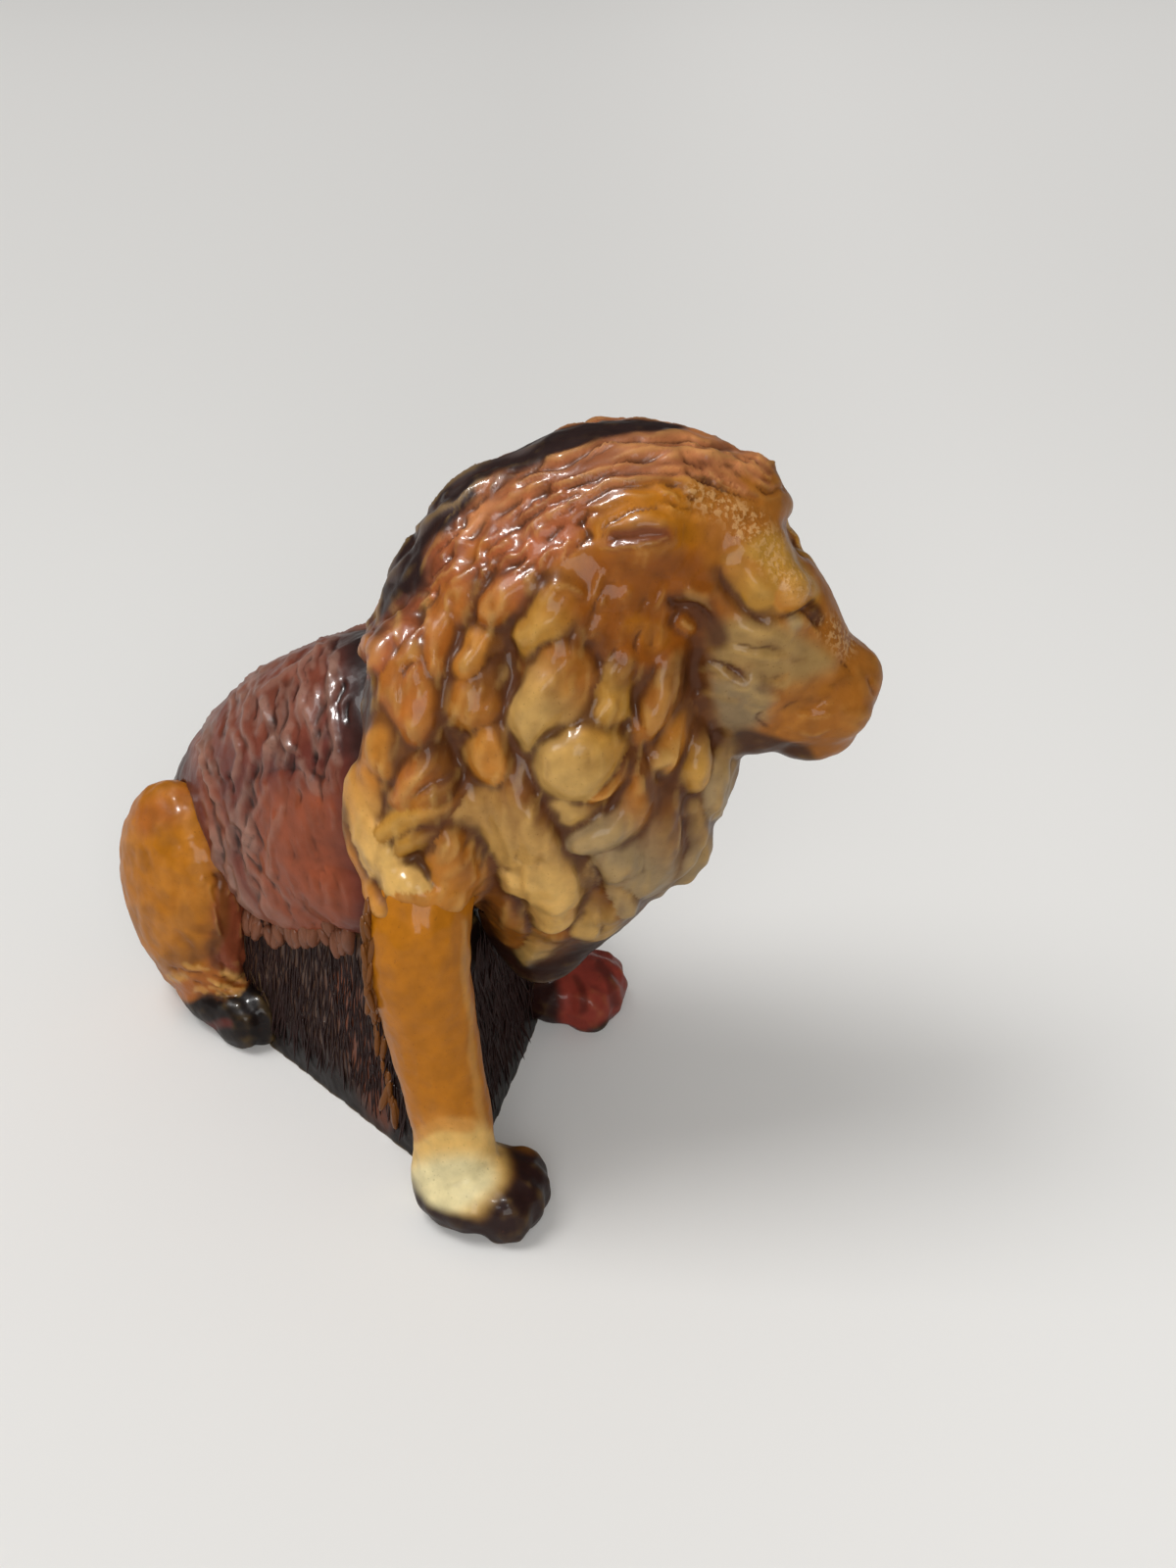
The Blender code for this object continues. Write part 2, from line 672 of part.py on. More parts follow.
def seat(piece: bpy.types.Object, tools: list) -> None:
    """Cuts the floor, and seats for other pieces, from a piece and keeps its main body.

    The skins are closed but finely folded once they are swollen, which the exact solver can
    empty, so the seats use the manifold one.
    """
    subtract(piece, floor, "EXACT")
    for tool in tools:
        if not apart(piece, tool):
            subtract(piece, tool, "MANIFOLD")
    bake(piece)
    keep_main_body(piece)


def stand_on_origin() -> None:
    """Moves the figure so that the middle of its outline stands on the origin."""
    pieces = list(figure.objects)
    corners = [vertex.co for piece in pieces for vertex in piece.data.vertices]
    middle_x = (min(c.x for c in corners) + max(c.x for c in corners)) / 2
    middle_y = (min(c.y for c in corners) + max(c.y for c in corners)) / 2
    stand = bpy.data.objects.new("stand", None)
    figure.objects.link(stand)
    stand.location = (-middle_x, -middle_y, 0)
    for piece in pieces:
        piece.parent = stand


clear_scene()
figure = new_collection("seated_lion_figure")
cutters = new_collection("cutters", hidden=True)
floor = floor_cutter()

# Each piece is cut to fit the pieces before it in this list, which stay whole
order = [
    make_head(),
    make_foreleg("right_foreleg", -1),
    make_foreleg("left_foreleg", 1),
    make_hind_leg("right_hind_leg", -1),
    make_hind_leg("left_hind_leg", 1),
    make_torso(),
    make_mane(),
    make_tail(),
    make_web(),
]
seats = [swollen(piece) for piece in order]
for index, piece in enumerate(order):
    seat(piece, seats[:index])
    dress(piece)
stand_on_origin()
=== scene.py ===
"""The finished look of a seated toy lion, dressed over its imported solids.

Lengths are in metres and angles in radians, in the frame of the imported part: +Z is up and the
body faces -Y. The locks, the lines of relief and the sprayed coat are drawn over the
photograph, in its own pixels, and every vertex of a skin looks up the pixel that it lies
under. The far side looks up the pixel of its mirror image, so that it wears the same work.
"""

import logging
import math
import random
from dataclasses import dataclass, field
from enum import Enum

import bmesh
import bpy
import numpy as np
from mathutils import Matrix, Vector, noise
from mathutils.bvhtree import BVHTree


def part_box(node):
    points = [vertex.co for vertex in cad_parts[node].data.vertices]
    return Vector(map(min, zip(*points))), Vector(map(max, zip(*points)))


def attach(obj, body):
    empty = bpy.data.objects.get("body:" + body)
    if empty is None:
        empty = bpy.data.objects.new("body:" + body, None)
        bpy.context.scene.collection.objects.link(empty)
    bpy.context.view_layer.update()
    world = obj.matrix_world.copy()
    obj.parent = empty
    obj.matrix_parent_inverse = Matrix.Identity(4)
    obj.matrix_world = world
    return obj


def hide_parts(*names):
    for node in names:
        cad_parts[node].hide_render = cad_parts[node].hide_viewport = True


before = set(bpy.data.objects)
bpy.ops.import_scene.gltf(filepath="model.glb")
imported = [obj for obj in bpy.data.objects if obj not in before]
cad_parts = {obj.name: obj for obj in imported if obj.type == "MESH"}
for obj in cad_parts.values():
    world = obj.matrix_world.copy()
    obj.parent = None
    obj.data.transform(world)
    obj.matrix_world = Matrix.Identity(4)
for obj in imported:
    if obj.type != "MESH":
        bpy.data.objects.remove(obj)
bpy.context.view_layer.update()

logging.basicConfig(level=logging.INFO, format="%(message)s")
log = logging.getLogger("lion")

MM = 0.001
BODY = "root"

# The plane that halves the head and the mane, and the one that halves the body
HEAD_PLACE = (-3.16 * MM, -14.0 * MM)
HEAD_TURN = math.radians(38)
BODY_PLACE = (-3.16 * MM, 0.0)

# Without a seed of its own, the noise follows the clock and differs from run to run
NOISE_SEED = 11
# The folds along a lock, in pixels: their pitch, how many times broader the broad ones are, and
# how far and how slowly their lines wander
FOLD_PITCH = 9.0
BROAD_FOLD = 2.3
FOLD_WANDER = 5.0
WANDER_LENGTH = 19.0
FOLD_HEIGHT = 0.17 * MM
# Which way the shaded side of a lock lies in the photograph, across and down
SHADED_WAY = np.array((0.85, -0.5))
# From where on relief fades in at either end of a line, and where it is whole
END_FADE = (-0.1, 0.25)


class Tint(Enum):
    """The coats and bare colours of the figure, as the eye reads them, from 0 to 255."""

    # Some of these colours are also sprayed as painted shade, painted shadow, painted sheen and
    # painted glow.
    RUST = (164, 88, 48)
    TERRACOTTA = (196, 126, 76)
    MAHOGANY = (112, 56, 32)
    OCHRE = (172, 104, 12)
    ORANGE = (166, 94, 32)
    HONEY = (184, 118, 42)
    CHEEK = (138, 74, 10)
    SIENNA = (156, 94, 28)
    MUSTARD = (180, 130, 50)
    STRAW = (220, 176, 100)
    PALE = (190, 152, 86)
    OLIVE = (156, 122, 70)
    STONE = (138, 114, 80)
    GREIGE = (152, 132, 96)
    CREAM = (222, 206, 156)
    BISQUE = (206, 160, 104)
    UMBER = (80, 42, 18)
    BARK = (112, 66, 24)
    MAROON = (100, 46, 36)
    TAUPE = (100, 72, 56)
    TAWNY = (122, 76, 54)
    CHESTNUT = (138, 70, 44)
    # Painted sheen: the pale tint that stands for light reflected along the trunk's hair lines
    HAIR = (156, 120, 104)
    AMBER = (40, 21, 18)
    AMBER_RED = (138, 54, 42)
    GARNET = (78, 30, 24)
    SMOKE = (96, 82, 78)
    PITCH = (22, 14, 12)

    def linear(self) -> np.ndarray:
        """The colour as light values."""
        shares = np.array(self.value) / 255
        return np.where(shares <= 0.04045, shares / 12.92, ((shares + 0.055) / 1.055) ** 2.4)

    def rgba(self) -> tuple:
        """The colour as light values with an alpha of 1."""
        return (*self.linear(), 1.0)


class Relief(Enum):
    """What a stroke does to the skin."""

    RIDGE = "a soft raised line"
    GROOVE = "a soft cut line"
    SWELL = "a broad swelling, or a hollow where its height is below zero"


@dataclass(frozen=True)
class Stroke:
    """A line of relief over the photograph: its width in pixels and its height in millimetres."""

    relief: Relief
    width: float
    height: float
    pixels: tuple

    def profile(self, distance: np.ndarray) -> np.ndarray:
        """How much of the height is left at distances from the line."""
        return np.exp(-2 * (2 * distance / self.width) ** 2)


@dataclass(frozen=True)
class Lock:
    """A hanging lock of hair, outlined over the photograph from its root.

    Its coat changes from root to tip, and its darker root is partly its own colour and partly
    painted shade where the lock above covers it. It rises by millimetres and its edge is rounded
    over pixels.
    """

    root: Tint
    tip: Tint
    rise: float
    edge: float
    outline: tuple

    def corners(self) -> np.ndarray:
        """The corners of the outline, as rows of across and down."""
        return np.array(self.outline, float)

    def run(self) -> np.ndarray:
        """The way from the first corner to the one farthest from it."""
        corners = self.corners()
        return corners[np.linalg.norm(corners - corners[0], axis=1).argmax()] - corners[0]

    def along(self, places: np.ndarray) -> np.ndarray:
        """How far places lie from the root to the tip, from 0 to 1."""
        run = self.run()
        return soft_step((places - self.corners()[0]) @ run / (run @ run), 0, 1)

    def flank(self, places: np.ndarray) -> np.ndarray:
        """How far places lie on the shaded side, from 0 to 1."""
        corners = self.corners()
        reach = ((corners - corners.mean(0)) @ SHADED_WAY).max()
        return soft_step((places - corners.mean(0)) @ SHADED_WAY, -0.2 * reach, 0.9 * reach)

    def folds(self, places: np.ndarray, number: int) -> np.ndarray:
        """Soft folds that run along the lock.

        Args:
            places: rows of across and down.
            number: the lock's own number, which sets its folds apart.

        Returns:
            Their height at each place.
        """
        run = self.run()
        length = np.linalg.norm(run)
        across = (places - self.corners()[0]) @ np.array((-run[1], run[0])) / length
        along = (places - self.corners()[0]) @ run / length
        bent = across + FOLD_WANDER * np.sin(along / WANDER_LENGTH + number)
        fine = np.sin(bent / FOLD_PITCH * math.tau + number)
        broad = np.sin(bent / (BROAD_FOLD * FOLD_PITCH) * math.tau + 2 * number)
        return FOLD_HEIGHT * (0.5 * fine + 0.8 * broad)


# Sprays and patches lay the figure's coats, and also painted shade, painted shadow and painted
# glow.
@dataclass(frozen=True)
class Spray:
    """A pass of the spray gun along a line of the photograph, its reach in pixels."""

    tint: Tint
    reach: float
    pixels: tuple
    strength: float = 1.0


@dataclass(frozen=True)
class Patch:
    """An area of the photograph that the spray gun fills, its edge softened over pixels."""

    tint: Tint
    feather: float
    outline: tuple
    strength: float = 1.0


@dataclass(frozen=True)
class Viewpoint:
    """The photograph's camera, its sizes in pixels."""

    place: tuple = (-182.0 * MM, -205.0 * MM, 200.0 * MM)
    pitch: float = math.radians(30)
    azimuth: float = math.radians(-46)
    focal: float = 2400.0
    width: float = 1200.0
    height: float = 1600.0
    sensor_mm: float = 36.0

    def matrix(self) -> Matrix:
        """Where the camera stands and looks."""
        turn = Matrix.Rotation(self.azimuth, 4, "Z")
        tilt = Matrix.Rotation(math.pi / 2 - self.pitch, 4, "X")
        return Matrix.Translation(self.place) @ turn @ tilt

    def aim(self, pixel: tuple) -> Vector:
        """The direction in which the camera sees a pixel."""
        across = (pixel[0] - self.width / 2) / self.focal
        upward = (self.height / 2 - pixel[1]) / self.focal
        return (self.matrix().to_3x3() @ Vector((across, upward, -1))).normalized()

    def pixels(self, points: np.ndarray) -> np.ndarray:
        """The pixels, as rows of across and down, under which points lie."""
        into = np.array(self.matrix().inverted())
        local = points @ into[:3, :3].T + into[:3, 3]
        across = self.width / 2 - self.focal * local[:, 0] / local[:, 2]
        down = self.height / 2 + self.focal * local[:, 1] / local[:, 2]
        return np.stack((across, down), axis=1)

    def add_camera(self) -> None:
        """Makes the scene's camera."""
        camera = bpy.data.objects.new("camera", bpy.data.cameras.new("camera"))
        camera.data.sensor_width = self.sensor_mm
        camera.data.lens = self.focal / self.height * self.sensor_mm
        camera.data.clip_start = 1 * MM
        camera.matrix_world = self.matrix()
        bpy.context.scene.collection.objects.link(camera)
        bpy.context.scene.camera = camera


VIEW = Viewpoint()


@dataclass(frozen=True)
class Mirror:
    """An upright plane that halves part of the figure."""

    place: tuple
    turn: float = 0.0

    def offset(self, points: np.ndarray) -> np.ndarray:
        """How far points lie on the far side, which the photograph doesn't show."""
        normal = np.array((math.cos(self.turn), math.sin(self.turn), 0.0))
        return (points - np.array((*self.place, 0.0))) @ normal

    def folded(self, points: np.ndarray) -> np.ndarray:
        """The points, those of the far side mirrored to the near side."""
        normal = np.array((math.cos(self.turn), math.sin(self.turn), 0.0))
        far = np.maximum(self.offset(points), 0)
        return points - 2 * far[:, None] * normal


HEAD_MIRROR = Mirror(HEAD_PLACE, HEAD_TURN)
BODY_MIRROR = Mirror(BODY_PLACE)
# A plane so far off that nothing lies beyond it
ALL_SEEN = Mirror((1.0, 0.0))


def smooth_line(points: tuple, steps: int = 4) -> np.ndarray:
    """A smooth line through points.

    Args:
        points: the points, each a row of the same length.
        steps: how many pieces each stretch gets.

    Returns:
        The rows of the line.
    """
    points = [np.array(point, float) for point in points]
    if len(points) < 3:
        return np.array(points)
    rows = []
    last = len(points) - 1
    for index in range(last):
        before, start = points[max(index - 1, 0)], points[index]
        end, after = points[index + 1], points[min(index + 2, last)]
        for step in range(steps):
            t = step / steps
            square = (2 * before - 5 * start + 4 * end - after) * t**2
            cube = (3 * start - before - 3 * end + after) * t**3
            rows.append(start + ((end - before) * t + square + cube) / 2)
    rows.append(points[-1])
    return np.array(rows)


def soft_step(values: np.ndarray, low: float, high: float) -> np.ndarray:
    """A smooth rise from 0 at low to 1 at high."""
    share = np.clip((values - low) / (high - low), 0, 1)
    return share * share * (3 - 2 * share)


@dataclass
class Trace:
    """How places lie along a line: which they are, how far off, and how far along from 0 to 1."""

    chosen: np.ndarray
    distance: np.ndarray
    along: np.ndarray


def trace(places: np.ndarray, pixels: tuple, reach: float) -> Trace:
    """Finds the places near a line of the photograph.

    Args:
        places: rows of across and down.
        pixels: points of the line.
        reach: how far off a place may be.

    Returns:
        How they lie along the line.
    """
    line = smooth_line(pixels)
    low, high = line.min(0) - reach, line.max(0) + reach
    chosen = np.nonzero(((places >= low) & (places <= high)).all(1))[0]
    near = places[chosen]
    distance = np.full(len(chosen), np.inf)
    along = np.zeros(len(chosen))
    stretches = len(line) - 1
    for index, (start, end) in enumerate(zip(line, line[1:])):
        run = end - start
        share = np.clip((near - start) @ run / max(run @ run, 1e-9), 0, 1)
        gap = np.linalg.norm(near - start - share[:, None] * run, axis=1)
        nearer = gap < distance
        distance[nearer] = gap[nearer]
        along[nearer] = (index + share[nearer]) / stretches
    kept = distance < reach
    return Trace(chosen[kept], distance[kept], along[kept])


@dataclass
class Cover:
    """How places lie in an outline: which they are, and how deep, below zero outside."""

    chosen: np.ndarray
    depth: np.ndarray


def cover(places: np.ndarray, pixels: tuple, feather: float) -> Cover:
    """Finds the places in an outline of the photograph.

    Args:
        places: rows of across and down.
        pixels: corners of the outline, which a smooth closed line joins.
        feather: how far outside a place may be.

    Returns:
        How they lie in it.
    """
    line = smooth_line((*pixels, pixels[0]))
    low, high = line.min(0) - feather, line.max(0) + feather
    chosen = np.nonzero(((places >= low) & (places <= high)).all(1))[0]
    near = places[chosen]
    within = np.zeros(len(chosen), bool)
    depth = np.full(len(chosen), np.inf)
    for start, end in zip(line, line[1:]):
        run = end - start
        share = np.clip((near - start) @ run / max(run @ run, 1e-9), 0, 1)
        depth = np.minimum(depth, np.linalg.norm(near - start - share[:, None] * run, axis=1))
        spans = (start[1] > near[:, 1]) != (end[1] > near[:, 1])
        rise = run[1] if run[1] else 1.0
        within ^= spans & (near[:, 0] < start[0] + (near[:, 1] - start[1]) * run[0] / rise)
    return Cover(chosen, np.where(within, depth, -depth))


class Skin:
    """A dense closed mesh and the arrays that sculpting works on."""

    def __init__(
        self,
        name: str,
        nodes: tuple,
        grain: float,
        swell: float,
        relaxing: int,
        tops: dict | None = None,
    ) -> None:
        """Fuses solids of the frame into one skin.

        Args:
            name: the piece's name.
            nodes: the solids that it stands for.
            grain: the size of its grid.
            swell: how far each solid is swollen before they are fused.
            relaxing: how often the skin is relaxed.
            tops: other solids that it also covers, each above a height.
        """
        joined = bmesh.new()
        for node in nodes:
            joined.from_mesh(self._swollen(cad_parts[node], swell))
        for node, height in (tops or {}).items():
            joined.from_mesh(self._swollen(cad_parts[node], 2 * swell, height))
        mesh = bpy.data.meshes.new(name)
        joined.to_mesh(mesh)
        joined.free()
        self.obj = bpy.data.objects.new(name, mesh)
        self.nodes = nodes
        bpy.context.scene.collection.objects.link(self.obj)
        grid = self.obj.modifiers.new("grid", "REMESH")
        grid.mode = "VOXEL"
        grid.voxel_size = grain
        relax = self.obj.modifiers.new("relax", "SMOOTH")
        relax.iterations = relaxing
        graph = bpy.context.evaluated_depsgraph_get()
        graph.update()
        self.obj.data = bpy.data.meshes.new_from_object(self.obj.evaluated_get(graph))
        self.obj.modifiers.clear()
        self.read()

    @staticmethod
    def _swollen(
        node: bpy.types.Object, swell: float, above: float | None = None
    ) -> bpy.types.Mesh:
        """A merged copy of a solid's mesh, swollen along its normals.

        Args:
            node: the solid's object.
            swell: how far.
            above: where it is cut off, if it is.

        Returns:
            The mesh.
        """
        body = bmesh.new()
        body.from_mesh(node.data)
        bmesh.ops.remove_doubles(body, verts=body.verts, dist=MM / 1000)
        body.normal_update()
        for vertex in body.verts:
            vertex.co += vertex.normal * swell
        if above is not None:
            whole = [*body.verts, *body.edges, *body.faces]
            place, up = Vector((0, 0, above)), Vector((0, 0, 1))
            bmesh.ops.bisect_plane(body, geom=whole, plane_co=place, plane_no=up, clear_inner=True)
            bmesh.ops.holes_fill(body, edges=body.edges)
        mesh = bpy.data.meshes.new(node.name + "_swollen")
        body.to_mesh(mesh)
        body.free()
        return mesh

    def read(self) -> None:
        """Reads the mesh into arrays."""
        mesh = self.obj.data
        self.points = np.empty((len(mesh.vertices), 3), np.float32)
        mesh.vertices.foreach_get("co", self.points.ravel())
        self.points = self.points.astype(float)
        self.normals = np.empty((len(mesh.vertices), 3), np.float32)
        mesh.vertex_normals.foreach_get("vector", self.normals.ravel())
        self.normals = self.normals.astype(float)
        self.edges = np.empty((len(mesh.edges), 2), np.int32)
        mesh.edges.foreach_get("vertices", self.edges.ravel())

    def write(self, points: np.ndarray) -> None:
        """Moves the vertices."""
        self.obj.data.vertices.foreach_set("co", points.astype(np.float32).ravel())
        self.obj.data.update()
        bpy.context.view_layer.update()
        self.read()

    def averaged(self, values: np.ndarray, share: float | np.ndarray, rounds: int) -> np.ndarray:
        """Relaxes values over the skin.

        Args:
            values: one row for each vertex.
            share: how far each vertex moves to its neighbours' mean, from 0 to 1.
            rounds: how often.

        Returns:
            The relaxed rows.
        """
        count = len(self.points)
        first, second = self.edges[:, 0], self.edges[:, 1]
        degree = np.bincount(first, minlength=count) + np.bincount(second, minlength=count)
        values = values.copy()
        for _ in range(rounds):
            for axis in range(values.shape[1]):
                column = values[:, axis]
                total = np.bincount(first, column[second], count)
                total += np.bincount(second, column[first], count)
                values[:, axis] += (total / degree - column) * share
        return values

    def noise(self, pitch: float) -> np.ndarray:
        """Three smooth noises of a pitch, from about -1 to 1, one row for each vertex."""
        noise.seed_set(NOISE_SEED)
        return np.array([noise.noise_vector(Vector(point) / pitch) for point in self.points])

    def hollows(self, rounds: int, depth: float) -> np.ndarray:
        """How far each vertex lies below its neighbourhood.

        Args:
            rounds: how widely the neighbourhood is averaged.
            depth: the depth that counts as 1.

        Returns:
            From -1 on a ridge to 1 in a crevice.
        """
        mean = self.averaged(self.points, 0.5, rounds)
        return np.clip(((mean - self.points) * self.normals).sum(1) / depth, -1, 1)

    def paint(self, name: str, values: np.ndarray) -> None:
        """Stores one number, or one colour, for each vertex."""
        kind = "FLOAT_COLOR" if values.ndim == 2 else "FLOAT"
        layer = self.obj.data.attributes.new(name, kind, "POINT")
        if values.ndim == 2:
            rows = np.ones((len(values), 4), np.float32)
            rows[:, :3] = values
            layer.data.foreach_set("color", rows.ravel())
        else:
            layer.data.foreach_set("value", values.astype(np.float32))


@dataclass(frozen=True)
class Ruffle:
    """Short hair lines scattered over an area of the photograph.

    Their flow is one hair's run in pixels, and they stray from it by a share. Their runs, widths
    and heights vary between two shares of the given ones. Their ridges are sprayed with the pale
    tint and their grooves with the dark one, as painted highlights and painted shade.
    """

    outline: tuple
    flow: tuple
    count: int
    width: float
    height: float
    pale: Tint
    dark: Tint
    strength: float = 0.4
    stray: float = 0.35
    runs: tuple = (0.5, 1.2)
    widths: tuple = (0.7, 1.3)
    heights: tuple = (0.5, 1.2)


@dataclass
class Sculpture:
    """The relief and the coat of one skin, gathered stroke by stroke in the photograph.

    The arrays hold each vertex twice: under its own pixel, and under the pixel of its image on
    the near side. The second counts for what the photograph hides of the far side.

    Feathers, growth, rims and drifts are in pixels. A lock grows beyond its outline, so that its
    skirt meets its neighbours' in a crease, and its rim is the depth inside the outline over
    which its colour takes over from the painted shade of the valleys. The rim is wider on the
    shaded side, whose coat is also painted darker as shade. Drift makes the drawn lines waver,
    and grit and lumps roughen the whole skin.
    """

    skin: Skin
    bare: Tint
    mirror: Mirror
    floor: float = 0.0
    locked: tuple = ()
    # Painted shade: the tint and strength sprayed into the valleys between locks
    valley_shade: Tint = Tint.UMBER
    valley_shade_strength: float = 0.75
    valley_feather: float = 16.0
    lock_strength: float = 0.85
    growth: float = 9.0
    roundness: float = 0.8
    root_share: float = 0.2
    root_edge: float = 1.3
    edge_loss: float = 0.4
    # Rims over which a lock's coat meets the painted shade of the valleys, and how far its shaded
    # side is painted darker as shade
    lit_rim: tuple = (-8, 2)
    shaded_rim: tuple = (-1, 15)
    shading: float = 0.5
    softening: int = 5
    spray_core: float = 0.3
    spray_fade: float = 1.4
    drift: float = 3.5
    drift_pitch: float = 2.6 * MM
    spray_drift: float = 6.0
    spray_pitch: float = 5 * MM
    grit: float = 0.06 * MM
    grit_pitch: float = 1.1 * MM
    lumps: float = 0.16 * MM
    lumps_pitch: float = 2.6 * MM
    crease_rounds: int = 6
    crease_depth: float = 0.12 * MM
    hollow_rounds: int = 50
    hollow_depth: float = 0.8 * MM
    crease_share: float = 0.4
    seen: np.ndarray = field(init=False)
    places: np.ndarray = field(init=False)
    sprayed: np.ndarray = field(init=False)
    base: np.ndarray = field(init=False)
    locks: np.ndarray = field(init=False)
    added: np.ndarray = field(init=False)
    coat: np.ndarray = field(init=False)
    shaved: np.ndarray = field(init=False)

    def __post_init__(self) -> None:
        """Starts with the bare skin."""
        points = self.skin.points
        toward = np.array(VIEW.place) - points
        toward /= np.linalg.norm(toward, axis=1)[:, None]
        facing = soft_step((toward * self.skin.normals).sum(1), 0, 0.15)
        self.seen = np.where(self.mirror.offset(points) > 0, facing, 1)[:, None]
        pixels = VIEW.pixels(np.concatenate((points, self.mirror.folded(points))))
        drift = np.tile(self.skin.noise(self.drift_pitch)[:, :2], (2, 1))
        self.places = pixels + drift * self.drift
        drift = np.tile(self.skin.noise(self.spray_pitch)[:, :2], (2, 1))
        self.sprayed = pixels + drift * self.spray_drift
        count = len(pixels)
        self.base = np.zeros(count)
        self.added = np.zeros(count)
        self.shaved = np.zeros(len(points))
        self.coat = np.tile(self.bare.linear(), (count, 1))
        if self.locked:
            area = cover(self.places, self.locked, 2 * self.valley_feather)
            sunk = soft_step(area.depth, -self.valley_feather, self.valley_feather)
            self.base[area.chosen] = -self.floor * sunk
        self.locks = self.base.copy()

    def press(self, strokes: tuple) -> None:
        """Adds lines of relief."""
        for stroke in strokes:
            found = trace(self.places, stroke.pixels, stroke.width)
            profile = stroke.profile(found.distance)
            if stroke.relief is not Relief.SWELL:
                profile *= soft_step(found.along, *END_FADE)
                profile *= soft_step(1 - found.along, *END_FADE)
            sign = -1 if stroke.relief is Relief.GROOVE else 1
            self.added[found.chosen] += sign * stroke.height * MM * profile

    def shave(self, strokes: tuple) -> None:
        """Takes skin away under lines, whether it is seen or hidden, but not from mirror images."""
        for stroke in strokes:
            found = trace(self.places[: len(self.seen)], stroke.pixels, stroke.width)
            self.shaved[found.chosen] += stroke.height * MM * stroke.profile(found.distance)

    def ruffle(self, ruff: Ruffle, chance: random.Random) -> None:
        """Scatters short hair lines over an area.

        Args:
            ruff: the area and its hair.
            chance: where the lines come from.
        """
        corners = np.array(ruff.outline, float)
        low, high = corners.min(0), corners.max(0)
        flow = np.array(ruff.flow, float)
        for _ in range(ruff.count):
            spot = np.array([chance.uniform(low[0], high[0]), chance.uniform(low[1], high[1])])
            found = cover(spot[None, :], ruff.outline, 0)
            if found.chosen.size == 0 or found.depth[0] < 0:
                continue
            turn = chance.gauss(0, ruff.stray)
            run = flow * chance.uniform(*ruff.runs)
            side = np.array((-run[1], run[0]))
            line = [spot + run * share + side * turn * share**2 for share in (-0.5, 0, 0.5)]
            width = ruff.width * chance.uniform(*ruff.widths)
            relief = chance.choice((Relief.RIDGE, Relief.RIDGE, Relief.GROOVE))
            height = ruff.height * chance.uniform(*ruff.heights)
            self.press((Stroke(relief, width, height, line),))
            # Painted highlight along a ridge, painted shade along a groove
            tint = ruff.pale if relief is Relief.RIDGE else ruff.dark
            self.spray((Spray(tint, width / 2, line, ruff.strength),))

    def spray(self, passes: tuple) -> None:
        """Adds passes of the spray gun, each over those before it."""
        for one in passes:
            if isinstance(one, Patch):
                found = cover(self.sprayed, one.outline, one.feather)
                share = soft_step(found.depth, -one.feather, one.feather)
            else:
                core, end = self.spray_core * one.reach, self.spray_fade * one.reach
                found = trace(self.sprayed, one.pixels, end)
                share = 1 - soft_step(found.distance, core, end)
            self.mix(found.chosen, one.strength * share, one.tint.linear())

    def mix(self, chosen: np.ndarray, share: np.ndarray, colour: np.ndarray) -> None:
        """Mixes a colour into the coat of some vertices."""
        self.coat[chosen] += share[:, None] * (colour - self.coat[chosen])

    def hang(self, locks: tuple) -> None:
        """Hangs locks of hair, whose skirts meet in creases, and coats them."""
        owner = np.full(len(self.base), -1)
        tints = np.zeros((len(self.base), 3))
        clear = np.zeros(len(self.base))
        for number, lock in enumerate(locks):
            found = cover(self.places, lock.outline, self.growth)
            chosen, depth = found.chosen, found.depth
            along = lock.along(self.places[chosen])
            edge = lock.edge * (self.root_edge - self.edge_loss * along)
            dome = soft_step(depth, -self.growth, edge) ** self.roundness
            lift = self.root_share + (1 - self.root_share) * along
            value = self.base[chosen] + (self.floor + lock.rise * MM * lift) * dome
            value += lock.folds(self.places[chosen], number) * dome
            higher = value > self.locks[chosen]
            kept = chosen[higher]
            self.locks[kept] = value[higher]
            owner[kept] = number
            root, tip = lock.root.linear(), lock.tip.linear()
            # Painted shade: on the lock's shaded side its coat leans towards the darker root tint
            flank = lock.flank(self.places[kept])
            share = np.clip(along[higher] + self.shading * (0.5 - flank), 0, 1)
            tints[kept] = root + share[:, None] * (tip - root)
            rims = zip(self.lit_rim, self.shaded_rim)
            dark, pale = (lit + (dim - lit) * flank for lit, dim in rims)
            clear[kept] = soft_step(depth[higher], dark, pale)
        hung = owner >= 0
        sunk = soft_step(-self.base / max(self.floor, MM / 1000), 0.1, 0.9)
        everywhere = np.arange(len(self.base))
        self.mix(everywhere, self.lock_strength * hung * (1 - (1 - sunk) * (1 - clear)), tints)
        # Painted shade in the valleys between locks and on their skirts
        valley_shade = np.where(hung, (1 - clear) * sunk, sunk)
        self.mix(everywhere, self.valley_shade_strength * valley_shade, self.valley_shade.linear())

    def finish(self) -> None:
        """Moves the skin, none of it below the ground, and stores its coat and its creases."""
        hair = self.skin.averaged(self.joined(self.locks[:, None]), 0.5, self.softening)
        grain = self.skin.noise(self.grit_pitch)[:, :1] * self.grit
        lumps = self.skin.noise(self.lumps_pitch)[:, :1] * self.lumps
        total = hair + self.joined(self.added[:, None]) + grain + lumps - self.shaved[:, None]
        moved = self.skin.points + self.skin.normals * total
        moved[:, 2] = np.maximum(moved[:, 2], 0)
        self.skin.write(moved)
        near = self.skin.hollows(self.crease_rounds, self.crease_depth)
        wide = self.skin.hollows(self.hollow_rounds, self.hollow_depth)
        crevice = self.crease_share * near + (1 - self.crease_share) * wide
        self.skin.paint("coat", self.joined(self.coat))
        self.skin.paint("crevice", np.clip(crevice, -1, 1))

    def joined(self, rows: np.ndarray) -> np.ndarray:
        """One row for each vertex, from its own pixel or from its image's."""
        own, folded = np.split(rows, 2)
        return own * self.seen + folded * (1 - self.seen)


